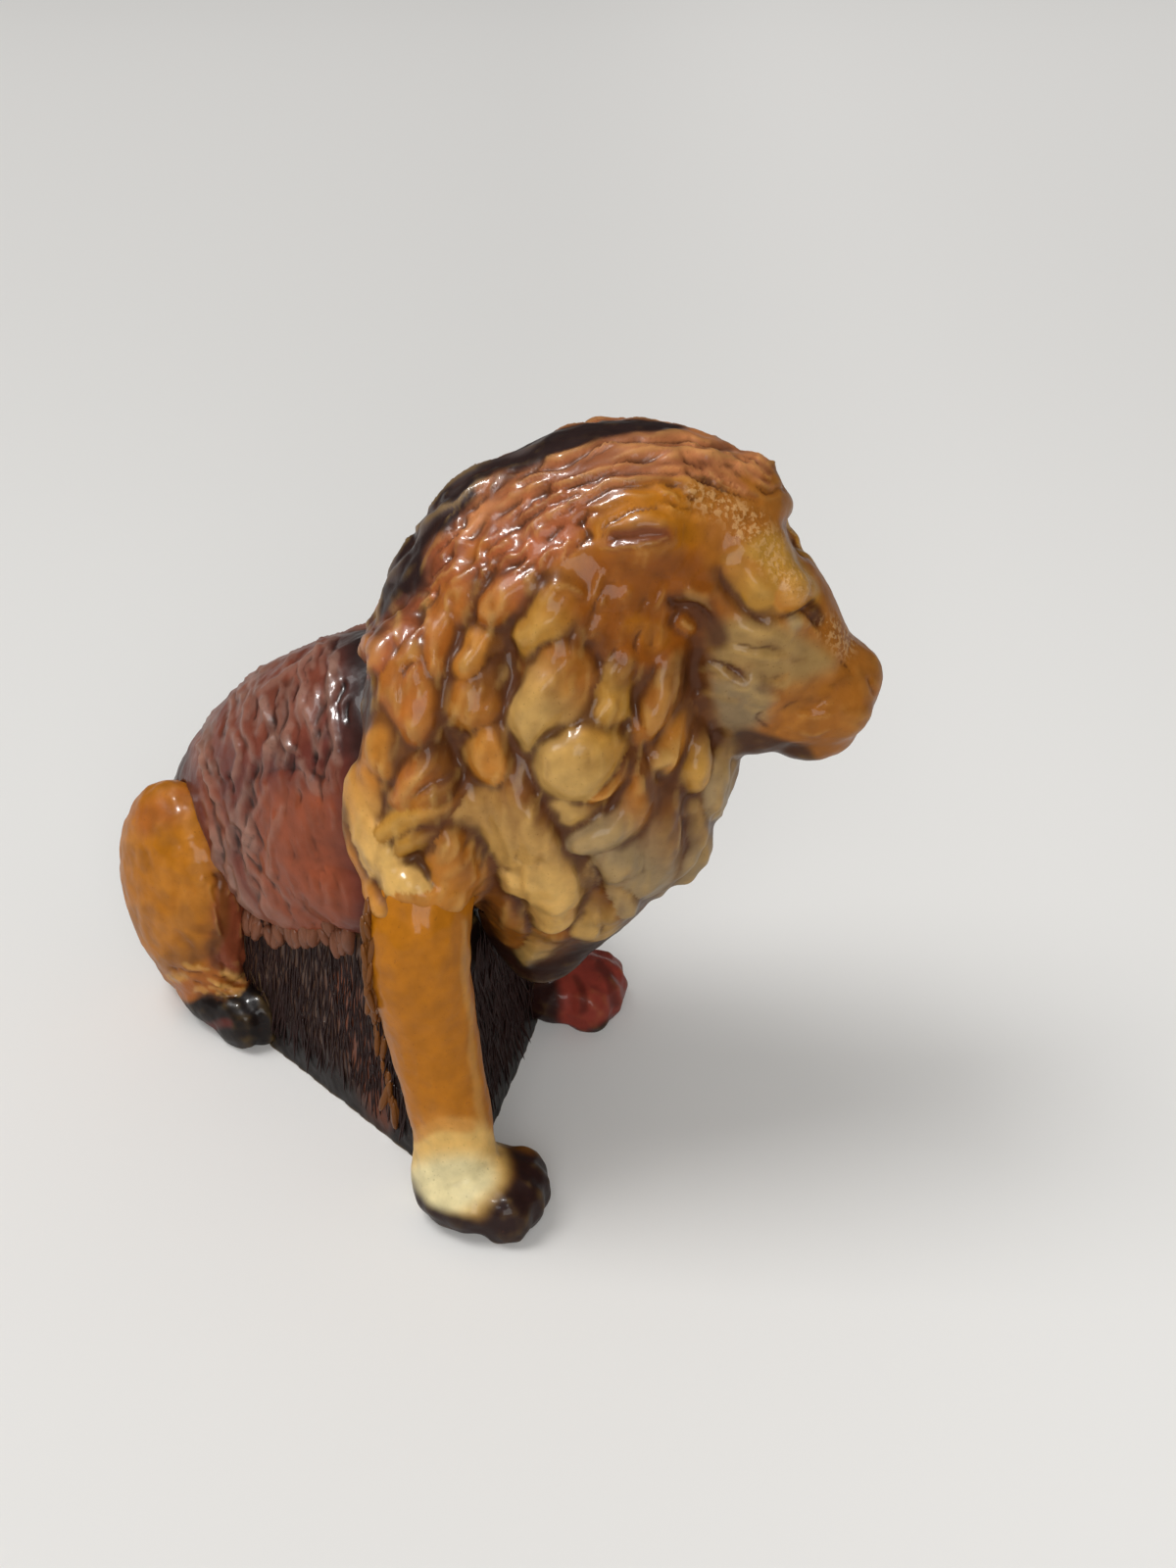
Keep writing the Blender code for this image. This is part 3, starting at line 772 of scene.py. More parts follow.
class Wire:
    """A node's output, on which Python's operators add Math nodes."""

    def __init__(self, tree: bpy.types.NodeTree, socket: bpy.types.NodeSocket) -> None:
        """Wraps an output socket."""
        self.tree = tree
        self.socket = socket

    def _math(self, operation: str, *values: object) -> "Wire":
        """Adds one Math node."""
        return add_node(self.tree, "ShaderNodeMath", {"operation": operation}, *values)

    def __add__(self, other: object) -> "Wire":
        """Adds."""
        return self._math("ADD", self, other)

    __radd__ = __add__

    def __sub__(self, other: object) -> "Wire":
        """Subtracts."""
        return self._math("SUBTRACT", self, other)

    def __rsub__(self, other: object) -> "Wire":
        """Is subtracted."""
        return self._math("SUBTRACT", other, self)

    def __mul__(self, other: object) -> "Wire":
        """Multiplies."""
        return self._math("MULTIPLY", self, other)

    __rmul__ = __mul__

    def between(self, low: float, high: float) -> "Wire":
        """How far the value lies from low to high, smoothly, from 0 to 1."""
        settings = {"interpolation_type": "SMOOTHSTEP"}
        return add_node(self.tree, "ShaderNodeMapRange", settings, self, low, high, 0.0, 1.0)


def add_node(
    tree: bpy.types.NodeTree, kind: str, settings: dict, *values: object, **named: object
) -> Wire:
    """Adds a node to a shader's or a geometry tree.

    Args:
        tree: the tree.
        kind: the node's type.
        settings: its own settings, which are set first.
        values: numbers, colours or wires for its inputs, in order. None leaves one alone.
        named: the same for inputs by name, and output for the name of the output to return.

    Returns:
        The output, as a wire.
    """
    node = tree.nodes.new(kind)
    for key, value in settings.items():
        setattr(node, key, value)
    output = named.pop("output", None)
    sockets = [socket for socket in node.inputs if socket.enabled]
    inputs = [*zip(sockets, values)]
    inputs += [(node.inputs[name], value) for name, value in named.items()]
    for socket, value in inputs:
        if isinstance(value, Wire):
            tree.links.new(value.socket, socket)
        elif value is not None:
            socket.default_value = value
    outputs = [socket for socket in node.outputs if socket.enabled]
    found = [socket for socket in outputs if socket.name == output] or outputs
    return Wire(tree, found[0])


def mix_colours(tree: bpy.types.NodeTree, share: object, first: object, second: object) -> Wire:
    """Mixes two colours by a share."""
    return add_node(tree, "ShaderNodeMix", {"data_type": "RGBA"}, share, first, second)


@dataclass(frozen=True)
class CoatFinish:
    """A glossy sprayed coat over dark amber, read from the colours stored on a skin.

    Broad noise mottles its brightness, fine noise specks it and flecks whiten its rough spots.
    Crevices are painted darker as shade and ridges paler as highlights.
    Ranges are of those noises, of the depth of a crevice and of the height of a ridge, and the
    weights of the bump are of specks, mottling and flecks.
    """

    name: str
    bare: Tint | None = None
    roughness: float = 0.45
    roughness_span: float = 0.2
    specular: float = 0.12
    gloss: float = 0.22
    gloss_roughness: float = 0.05
    mottle_scale: float = 420.0
    mottle_shades: tuple = (0.62, 1.34)
    speck_scale: float = 2600.0
    speck_range: tuple = (0.64, 0.74)
    speck_share: float = 0.3
    fleck_scale: float = 1500.0
    fleck_range: tuple = (0.48, 0.58)
    fleck_share: float = 0.6
    crevice_shade_tint: Tint = Tint.UMBER
    crevice_range: tuple = (0.0, 0.8)
    crevice_shade_share: float = 0.85
    ridge_highlight_tint: Tint = Tint.STRAW
    ridge_range: tuple = (0.1, 0.9)
    ridge_highlight_share: float = 0.22
    bump_depth: float = 0.10 * MM
    bump_strength: float = 0.8
    bump_weights: tuple = (0.25, 0.9, 4)

    def material(self) -> bpy.types.Material:
        """Builds the material."""
        made = bpy.data.materials.new(self.name)
        made.use_nodes = True
        tree = made.node_tree
        shader = tree.nodes["Principled BSDF"]
        place = add_node(tree, "ShaderNodeTexCoord", {}, output="Object")
        coat = self.bare.rgba() if self.bare else self._stored(tree, "coat", "Color")
        depth = self._stored(tree, "crevice", "Fac")
        rough = self._stored(tree, "mottle", "Fac")
        noises = ((self.mottle_scale, 4.0), (self.speck_scale, 3.0), (self.fleck_scale, 4.0))
        broad, fine, flecks = (
            add_node(tree, "ShaderNodeTexNoise", {}, place, Scale=scale, Detail=detail)
            for scale, detail in noises
        )

        # Painted highlight on ridges and painted shade in crevices
        raised = (depth * -1).between(*self.ridge_range) * self.ridge_highlight_share
        lifted = mix_colours(tree, raised, coat, self.ridge_highlight_tint.rgba())
        sunk = depth.between(*self.crevice_range) * self.crevice_shade_share
        darker = mix_colours(tree, sunk, lifted, self.crevice_shade_tint.rgba())
        dim, bright = self.mottle_shades
        shade = dim + broad * (bright - dim)
        scaled = {"operation": "SCALE"}
        shaded = add_node(tree, "ShaderNodeVectorMath", scaled, darker, Scale=shade)
        specks = fine.between(*self.speck_range) * self.speck_share
        specked = mix_colours(tree, specks, shaded, Tint.UMBER.rgba())
        pale = rough * flecks.between(*self.fleck_range) * self.fleck_share
        flecked = mix_colours(tree, pale, specked, Tint.BISQUE.rgba())
        tree.links.new(flecked.socket, shader.inputs["Base Color"])

        dull = self.roughness - self.roughness_span / 2 + broad * self.roughness_span
        tree.links.new(dull.socket, shader.inputs["Roughness"])
        shader.inputs["Metallic"].default_value = 0
        shader.inputs["Specular IOR Level"].default_value = self.specular
        shader.inputs["Coat Weight"].default_value = self.gloss
        shader.inputs["Coat Roughness"].default_value = self.gloss_roughness
        specky, lumpy, flecky = self.bump_weights
        height = fine * specky + broad * lumpy + rough * flecks * flecky
        sizes = {"Strength": self.bump_strength, "Distance": self.bump_depth}
        bump = add_node(tree, "ShaderNodeBump", {}, Height=height, **sizes)
        tree.links.new(bump.socket, shader.inputs["Normal"])
        return made

    @staticmethod
    def _stored(tree: bpy.types.NodeTree, name: str, output: str) -> Wire:
        """Reads an attribute of the skin."""
        return add_node(tree, "ShaderNodeAttribute", {"attribute_name": name}, output=output)


def dress(skin: Skin, finish: CoatFinish) -> None:
    """Gives a finished skin its material and its place in the frame.

    Args:
        skin: the skin.
        finish: its finish.
    """
    obj = skin.obj
    obj.data.materials.clear()
    obj.data.materials.append(finish.material())
    obj.data.polygons.foreach_set("use_smooth", np.ones(len(obj.data.polygons), bool))
    obj.data.update()
    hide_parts(*skin.nodes)
    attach(obj, BODY)
    log.info("%s: %d faces", obj.name, len(obj.data.polygons))


# The head and the mane, drawn in pixels of the photograph: where the locks hang, the locks and
# strokes of the hair and the face, the ear, the crown's hairs, and the coats, with painted shade
# and painted shadow among them
LOCKED_AREA = (
    (440, 600), (404, 606), (372, 640), (360, 690), (350, 740), (338, 800), (340, 880), (346, 950),
    (400, 946), (470, 945), (520, 985), (600, 975), (680, 935), (740, 900), (770, 820), (745, 755),
    (712, 720), (704, 670), (670, 690), (600, 690), (590, 640), (580, 590), (540, 575), (490, 572),
)
MANE_LOCKS = (
    Lock(Tint.MAHOGANY, Tint.RUST, 0.9, 10, ((436, 600), (412, 604), (392, 622), (380, 642),
        (373, 660), (376, 674), (386, 684), (396, 674), (406, 656), (424, 642), (438, 626),
        (442, 610))),
    Lock(Tint.SIENNA, Tint.ORANGE, 1.2, 15, ((430, 638), (412, 652), (400, 668), (390, 690),
        (386, 706), (392, 720), (404, 733), (412, 748), (421, 759), (430, 752), (438, 738),
        (444, 720), (445, 700), (440, 682), (436, 660))),
    Lock(Tint.ORANGE, Tint.ORANGE, 1.0, 12, ((462, 576), (450, 588), (443, 604), (438, 622),
        (436, 644), (436, 664), (439, 682), (445, 689), (451, 676), (456, 658), (466, 640),
        (478, 624), (484, 606), (484, 588), (474, 578))),
    Lock(Tint.RUST, Tint.ORANGE, 1.1, 12, ((530, 580), (512, 588), (500, 602), (491, 618),
        (491, 630), (502, 635), (516, 629), (530, 616), (540, 604), (544, 590))),
    Lock(Tint.HONEY, Tint.HONEY, 1.2, 12, ((490, 636), (478, 645), (470, 660), (466, 674),
        (468, 688), (478, 690), (488, 682), (496, 668), (504, 654), (502, 642))),
    Lock(Tint.BARK, Tint.SIENNA, 1.3, 13, ((498, 676), (482, 686), (468, 696), (462, 708),
        (458, 722), (464, 736), (480, 742), (496, 738), (508, 728), (515, 712), (514, 694),
        (508, 680))),
    Lock(Tint.SIENNA, Tint.MUSTARD, 1.3, 14, ((596, 600), (572, 584), (560, 592), (550, 606),
        (542, 622), (531, 638), (526, 652), (533, 666), (545, 660), (560, 652), (578, 642),
        (594, 626))),
    Lock(Tint.SIENNA, Tint.PALE, 1.7, 20, ((604, 668), (582, 654), (562, 654), (547, 664),
        (541, 680), (536, 698), (528, 712), (520, 726), (524, 742), (532, 756), (538, 766),
        (547, 758), (557, 746), (572, 741), (590, 732), (606, 714), (614, 692))),
    Lock(Tint.HONEY, Tint.HONEY, 1.2, 12, ((388, 737), (376, 746), (369, 760), (372, 776),
        (382, 789), (395, 790), (403, 776), (404, 756), (398, 741))),
    Lock(Tint.HONEY, Tint.STRAW, 1.0, 20, ((376, 764), (358, 778), (347, 794), (350, 816),
        (356, 842), (364, 868), (378, 892), (394, 908), (412, 916), (436, 914), (442, 898),
        (424, 884), (406, 872), (396, 858), (390, 842), (390, 818), (392, 796), (386, 778))),
    Lock(Tint.BARK, Tint.ORANGE, 1.2, 12, ((462, 768), (444, 766), (428, 773), (414, 786),
        (404, 804), (400, 818), (414, 816), (430, 806), (448, 798), (464, 786))),
    Lock(Tint.BARK, Tint.SIENNA, 0.9, 10, ((466, 790), (446, 798), (430, 805), (414, 813),
        (404, 822), (416, 826), (436, 824), (456, 818), (468, 806))),
    Lock(Tint.SIENNA, Tint.MUSTARD, 1.2, 11, ((474, 804), (462, 812), (450, 820), (430, 822),
        (410, 826), (395, 836), (386, 848), (388, 860), (402, 853), (416, 843), (434, 837),
        (452, 832), (468, 822))),
    Lock(Tint.BARK, Tint.MUSTARD, 0.8, 9, ((448, 846), (430, 846), (414, 852), (402, 862),
        (406, 874), (424, 866), (444, 856))),
    Lock(Tint.SIENNA, Tint.HONEY, 1.1, 22, ((470, 842), (450, 848), (440, 864), (436, 884),
        (436, 900), (420, 908), (404, 918), (424, 924), (446, 924), (466, 934), (478, 932),
        (490, 920), (502, 908), (508, 894), (500, 878), (488, 862))),
    Lock(Tint.HONEY, Tint.HONEY, 1.2, 11, ((500, 738), (486, 746), (477, 760), (477, 774),
        (486, 786), (496, 796), (508, 800), (518, 784), (516, 762), (510, 746))),
    Lock(Tint.BARK, Tint.STRAW, 1.7, 20, ((520, 770), (500, 786), (490, 802), (474, 816),
        (465, 830), (474, 840), (488, 846), (496, 860), (508, 874), (516, 886), (512, 900),
        (526, 914), (540, 922), (548, 938), (560, 946), (574, 942), (588, 926), (597, 908),
        (598, 892), (588, 874), (574, 856), (562, 838), (552, 818), (542, 796), (532, 778))),
    Lock(Tint.HONEY, Tint.STRAW, 2.1, 12, ((560, 900), (544, 912), (542, 928), (550, 942),
        (564, 947), (580, 938), (590, 920), (588, 902), (576, 896))),
    Lock(Tint.MUSTARD, Tint.STRAW, 1.5, 12, ((548, 880), (526, 886), (514, 896), (520, 908),
        (536, 914), (556, 906), (566, 892))),
    Lock(Tint.MUSTARD, Tint.PALE, 2.0, 22, ((628, 742), (604, 742), (580, 742), (560, 748),
        (549, 760), (545, 776), (551, 794), (562, 808), (580, 816), (600, 816), (618, 808),
        (632, 794), (641, 776), (645, 758), (640, 746))),
    Lock(Tint.BARK, Tint.HONEY, 2.5, 8, ((644, 764), (636, 772), (632, 784), (622, 796),
        (608, 806), (602, 814), (616, 810), (632, 797), (642, 782))),
    Lock(Tint.BARK, Tint.PALE, 1.1, 12, ((604, 808), (580, 810), (567, 818), (570, 832),
        (580, 842), (596, 838), (614, 828), (624, 816))),
    Lock(Tint.SIENNA, Tint.GREIGE, 1.4, 15, ((650, 784), (660, 796), (667, 812), (667, 830),
        (656, 846), (640, 856), (624, 864), (606, 870), (588, 868), (577, 858), (590, 848),
        (606, 840), (622, 832), (632, 818), (636, 800), (640, 788))),
    Lock(Tint.BARK, Tint.SIENNA, 1.0, 16, ((690, 660), (676, 676), (668, 700), (656, 722),
        (648, 744), (656, 756), (670, 748), (684, 730), (696, 710), (702, 688), (700, 668))),
    Lock(Tint.BARK, Tint.MUSTARD, 0.9, 16, ((640, 664), (624, 676), (612, 694), (606, 714),
        (610, 728), (626, 736), (640, 728), (644, 706), (652, 686), (654, 670))),
    Lock(Tint.HONEY, Tint.HONEY, 1.5, 8, ((698, 718), (688, 728), (681, 746), (676, 766),
        (678, 786), (688, 780), (696, 762), (702, 742), (703, 726))),
    Lock(Tint.BARK, Tint.MUSTARD, 1.2, 8, ((718, 740), (709, 752), (706, 772), (702, 792),
        (710, 804), (720, 794), (726, 776), (726, 756))),
    Lock(Tint.OLIVE, Tint.GREIGE, 1.1, 9, ((748, 748), (734, 762), (727, 780), (719, 798),
        (720, 818), (726, 836), (738, 820), (748, 800), (756, 776))),
    Lock(Tint.BARK, Tint.GREIGE, 1.3, 24, ((694, 804), (680, 814), (668, 832), (658, 848),
        (640, 860), (620, 868), (606, 874), (610, 890), (622, 902), (640, 910), (658, 916),
        (676, 908), (690, 896), (699, 878), (702, 856), (700, 834), (698, 816))),
    Lock(Tint.OLIVE, Tint.GREIGE, 1.0, 11, ((712, 806), (704, 822), (706, 842), (710, 862),
        (702, 884), (692, 902), (676, 916), (690, 920), (710, 908), (724, 886), (728, 860),
        (724, 834), (720, 814))),
    Lock(Tint.OLIVE, Tint.GREIGE, 0.9, 8, ((634, 898), (620, 908), (624, 926), (638, 936),
        (650, 926), (650, 908))),
    Lock(Tint.BARK, Tint.PALE, 1.0, 10, ((610, 906), (596, 922), (586, 936), (586, 952),
        (604, 958), (622, 952), (640, 938), (642, 922), (626, 912))),
    Lock(Tint.UMBER, Tint.SIENNA, 0.8, 12, ((510, 902), (500, 912), (500, 932), (508, 952),
        (520, 966), (534, 962), (542, 946), (534, 926), (524, 910))),
    Lock(Tint.SIENNA, Tint.PALE, 0.8, 9, ((544, 938), (534, 952), (528, 970), (536, 982),
        (550, 976), (566, 966), (584, 956), (578, 944), (560, 942))),
    Lock(Tint.HONEY, Tint.HONEY, 0.4, 12, ((352, 846), (349, 880), (352, 910), (358, 936),
        (374, 946), (392, 938), (398, 922), (384, 906), (370, 884), (360, 862))),
)
MANE_STROKES = (
    Stroke(Relief.GROOVE, 20, 0.7, ((522, 650), (518, 672), (520, 696), (514, 722))),
    Stroke(Relief.GROOVE, 14, 0.5, ((456, 740), (462, 768), (474, 788), (464, 814))),
    Stroke(Relief.GROOVE, 12, 0.4, ((412, 884), (424, 876), (434, 890), (432, 900))),
    Stroke(Relief.GROOVE, 14, 0.5, ((644, 694), (650, 730), (664, 770), (680, 800))),
    Stroke(Relief.GROOVE, 12, 0.4, ((604, 886), (614, 900), (606, 912))),
    Stroke(Relief.SWELL, 80, 1.4, ((344, 650), (366, 612), (396, 568), (444, 520), (500, 480))),
    Stroke(Relief.RIDGE, 8, 0.35, ((340, 642), (362, 619), (392, 576), (443, 526), (495, 482),
        (555, 451))),
    Stroke(Relief.RIDGE, 8, 0.35, ((374, 650), (392, 602), (417, 559), (450, 533), (495, 499),
        (529, 483))),
    Stroke(Relief.GROOVE, 6, 0.3, ((352, 646), (376, 606), (404, 566), (446, 528), (496, 490),
        (546, 464))),
    Stroke(Relief.GROOVE, 7, 0.35, ((432, 600), (446, 566), (470, 546), (482, 524), (510, 506))),
    Stroke(Relief.GROOVE, 7, 0.3, ((442, 612), (462, 576), (474, 556), (500, 532))),
    Stroke(Relief.RIDGE, 10, 0.4, ((426, 599), (443, 568), (464, 533), (496, 506))),
    Stroke(Relief.RIDGE, 10, 0.4, ((450, 600), (462, 578), (474, 550), (500, 520))),
    Stroke(Relief.RIDGE, 10, 0.4, ((486, 602), (491, 585), (490, 561), (508, 530))),
)
FACE_LOCKS = (
    Lock(Tint.SIENNA, Tint.MUSTARD, 0.5, 20, ((752, 566), (744, 582), (748, 600), (758, 614),
        (774, 620), (790, 614), (794, 598), (786, 580), (770, 566))),
    Lock(Tint.MUSTARD, Tint.HONEY, 0.6, 18, ((800, 578), (788, 590), (785, 606), (794, 620),
        (808, 624), (822, 618), (831, 606), (829, 592), (816, 580))),
    Lock(Tint.MUSTARD, Tint.GREIGE, 0.4, 7, ((818, 620), (810, 622), (804, 632), (808, 641),
        (816, 637), (820, 629))),
)
FACE_STROKES = (
    Stroke(Relief.GROOVE, 16, 0.5, ((734, 574), (740, 598), (756, 615), (774, 630), (792, 642))),
    Stroke(Relief.GROOVE, 10, 0.7, ((800, 630), (812, 626), (824, 617), (834, 610))),
    Stroke(Relief.GROOVE, 9, 0.6, ((820, 622), (826, 628), (836, 640))),
    Stroke(Relief.RIDGE, 7, 0.35, ((820, 641), (826, 634), (832, 642), (838, 654))),
    Stroke(Relief.RIDGE, 18, 0.35, ((748, 640), (772, 646), (796, 652), (808, 656))),
    Stroke(Relief.RIDGE, 14, 0.35, ((782, 634), (800, 642), (812, 650))),
    Stroke(Relief.GROOVE, 6, 0.25, ((744, 656), (766, 660), (788, 661))),
    Stroke(Relief.RIDGE, 14, 0.35, ((742, 664), (766, 668), (792, 672), (808, 670))),
    Stroke(Relief.GROOVE, 9, 0.55, ((724, 674), (740, 680), (754, 688), (764, 696))),
    Stroke(Relief.SWELL, 44, 0.5, ((740, 704), (764, 706), (776, 712))),
    Stroke(Relief.GROOVE, 8, 0.10, ((873, 684), (858, 694), (841, 702), (820, 714), (800, 722),
        (780, 722))),
    Stroke(Relief.SWELL, 30, 0.12, ((850, 720), (822, 732), (806, 738))),
    Stroke(Relief.RIDGE, 7, 0.2, ((812, 730), (830, 732), (852, 730))),
    Stroke(Relief.RIDGE, 7, 0.2, ((812, 744), (830, 748), (848, 744))),
    Stroke(Relief.GROOVE, 10, 0.4, ((782, 726), (774, 734), (786, 744))),
    Stroke(Relief.GROOVE, 6, 0.35, ((884, 692), (890, 700), (894, 708))),
    Stroke(Relief.GROOVE, 6, 0.25, ((856, 672), (866, 680), (872, 690))),
    Stroke(Relief.SWELL, 22, 0.9, ((766, 462), (788, 473))),
    Stroke(Relief.GROOVE, 12, 0.4, ((776, 500), (797, 500), (806, 500))),
    Stroke(Relief.SWELL, 44, -0.9, ((698, 630), (704, 634))),
    Stroke(Relief.SWELL, 19, 1.3, ((699, 636), (704, 640))),
    Stroke(Relief.GROOVE, 10, 0.7, ((682, 608), (690, 618), (704, 618), (718, 624), (728, 638))),
    Stroke(Relief.SWELL, 20, 0.4, ((706, 606), (718, 608))),
    Stroke(Relief.GROOVE, 22, 0.5, ((712, 660), (710, 690), (716, 712))),
    Stroke(Relief.GROOVE, 22, 0.5, ((600, 650), (606, 668), (616, 684))),
    Stroke(Relief.SWELL, 26, -0.7, ((628, 550), (651, 547), (684, 543))),
    Stroke(Relief.GROOVE, 6, 0.5, ((612, 552), (616, 538), (630, 526), (650, 519), (672, 518))),
    Stroke(Relief.RIDGE, 5, 0.3, ((610, 560), (636, 559), (664, 554), (688, 545))),
    Stroke(Relief.RIDGE, 14, 0.3, ((600, 540), (610, 520), (634, 508), (668, 506), (690, 510))),
    Stroke(Relief.SWELL, 16, -0.5, ((596, 536), (600, 548))),
    Stroke(Relief.RIDGE, 12, 0.4, ((560, 600), (580, 596), (598, 606))),
    Stroke(Relief.GROOVE, 9, 0.3, ((740, 500), (760, 506), (780, 512))),
)
PROFILE_STROKES = (
    Stroke(Relief.SWELL, 36, 1.5, ((814, 534), (824, 550))),
    Stroke(Relief.SWELL, 50, 0.9, ((840, 564), (854, 590), (866, 620))),
)
EAR_AREA = (
    (592, 520), (606, 500), (640, 492), (690, 496), (712, 520), (706, 560), (670, 574), (620, 574),
    (596, 552),
)
CROWN_RUFFLES = (
    Ruffle(((436, 610), (446, 566), (480, 524), (540, 492), (592, 500), (604, 520), (590, 560),
        (560, 592), (520, 590), (480, 600)), (-22, 20), 90, 8, 0.4, Tint.RUST, Tint.MAHOGANY),
    Ruffle(((360, 690), (372, 640), (410, 604), (440, 600), (440, 640), (420, 690), (392, 720)),
        (-20, 22), 30, 8, 0.35, Tint.RUST, Tint.MAHOGANY),
    Ruffle(((340, 640), (366, 604), (410, 548), (470, 500), (540, 466), (560, 470), (500, 510),
        (440, 566), (400, 610), (372, 650)), (-26, 26), 60, 6, 0.35, Tint.SMOKE, Tint.PITCH),
    Ruffle(((700, 452), (770, 462), (792, 474), (786, 500), (740, 500), (700, 484)), (26, 12), 40,
        5, 0.35, Tint.TERRACOTTA, Tint.UMBER),
    Ruffle(((600, 560), (670, 570), (686, 600), (676, 650), (640, 690), (596, 650)), (-8, 24), 26,
        12, 0.25, Tint.SIENNA, Tint.BARK, 0.25),
    Ruffle(((790, 690), (860, 690), (896, 716), (870, 752), (820, 762), (784, 740)), (18, -7), 26,
        8, 0.10, Tint.HONEY, Tint.BARK, 0.3),
    Ruffle(((724, 640), (800, 650), (830, 670), (790, 716), (740, 730), (720, 690)), (22, 3), 26,
        8, 0.12, Tint.PALE, Tint.BARK, 0.22),
    Ruffle(((380, 620), (480, 590), (560, 600), (600, 660), (700, 700), (740, 800), (700, 900),
        (590, 950), (480, 930), (370, 900), (350, 800)), (-4, 22), 330, 7, 0.13, Tint.PALE,
        Tint.BARK, 0.2),
    Ruffle(((650, 500), (700, 496), (724, 510), (716, 540), (690, 530)), (20, 8), 20, 7, 0.35,
        Tint.HONEY, Tint.BARK),
)
CROWN_TOP = (
    (795, 474), (770, 462), (745, 457), (697, 446), (654, 446), (615, 452), (578, 466), (534, 486),
    (492, 506),
)
CROWN_LOW = (
    (740, 506), (726, 496), (710, 490), (684, 486), (654, 492), (621, 500), (590, 514), (560, 530),
    (527, 556),
)
MANE_COATS_AND_SHADE = (
    Patch(Tint.SIENNA, 20, ((340, 560), (560, 430), (800, 450), (920, 690), (860, 790), (760, 780),
        (740, 940), (560, 1000), (330, 960))),
    Patch(Tint.RUST, 16, ((430, 600), (440, 560), (480, 520), (540, 476), (600, 446), (700, 440),
        (700, 470), (640, 490), (600, 510), (590, 550), (540, 580), (480, 580))),
    Spray(Tint.TERRACOTTA, 20, ((640, 460), (700, 456), (770, 476))),
    Spray(Tint.MAHOGANY, 24, ((400, 640), (440, 590), (470, 556), (500, 524), (540, 500)), 0.7),
    Spray(Tint.ORANGE, 14, ((470, 570), (490, 560), (500, 590))),
    Spray(Tint.TERRACOTTA, 12, ((470, 540), (500, 520))),
    Patch(Tint.OCHRE, 14, ((640, 500), (680, 494), (720, 500), (745, 530), (730, 560), (700, 570),
        (640, 560), (610, 540))),
    Patch(Tint.CHEEK, 16, ((600, 560), (700, 560), (730, 570), (735, 640), (700, 690), (620, 690),
        (580, 640))),
    # Painted shade in the ear's hollow
    Spray(Tint.MAHOGANY, 14, ((630, 548), (680, 544)), 0.9),
    Spray(Tint.OCHRE, 14, ((650, 640), (670, 650)), 0.6),
    Patch(Tint.SIENNA, 12, ((700, 500), (790, 480), (860, 600), (905, 690), (880, 740), (850, 700),
        (820, 660), (800, 640), (740, 620), (720, 560))),
    Patch(Tint.MUSTARD, 10, ((744, 570), (790, 540), (820, 580), (836, 606), (810, 626),
        (760, 620))),
    Patch(Tint.OLIVE, 12, ((726, 636), (770, 628), (820, 650), (850, 670), (840, 690), (800, 700),
        (730, 690))),
    Patch(Tint.STONE, 12, ((724, 690), (770, 690), (790, 716), (770, 744), (730, 744))),
    Patch(Tint.SIENNA, 10, ((806, 716), (850, 704), (880, 712), (870, 744), (840, 764),
        (800, 744))),
    # Painted shade under the brow
    Spray(Tint.UMBER, 11, ((732, 584), (742, 604), (764, 622), (786, 634)), 0.6),
    Spray(Tint.UMBER, 8, ((818, 620), (828, 622), (834, 634)), 0.9),
    # Painted shade in the crease of the cheek
    Spray(Tint.UMBER, 8, ((724, 676), (744, 684), (758, 692)), 0.7),
    Spray(Tint.UMBER, 6, ((865, 690), (841, 703), (815, 716)), 0.25),
    Patch(Tint.AMBER, 5, ((748, 744), (770, 746), (800, 757), (832, 768), (836, 800), (780, 800),
        (740, 770)), 0.85),
    # Painted shade around the knob in the cheek
    Spray(Tint.UMBER, 12, ((690, 612), (704, 616), (726, 634), (734, 650)), 0.9),
    # Painted shadow on the underside of the beard
    Patch(Tint.UMBER, 10, ((476, 926), (506, 940), (534, 960), (562, 974), (604, 966), (650, 946),
        (650, 1020), (476, 1020)), 0.8),
    Spray(Tint.SIENNA, 7, ((699, 637), (704, 640)), 0.95),
    # Painted shade in the creases behind the cheek and between the locks
    Spray(Tint.UMBER, 16, ((712, 664), (712, 700), (714, 722)), 0.8),
    Spray(Tint.UMBER, 18, ((602, 650), (612, 678), (640, 700), (650, 720)), 0.6),
    Spray(Tint.UMBER, 18, ((660, 694), (650, 716), (646, 740)), 0.8),
)
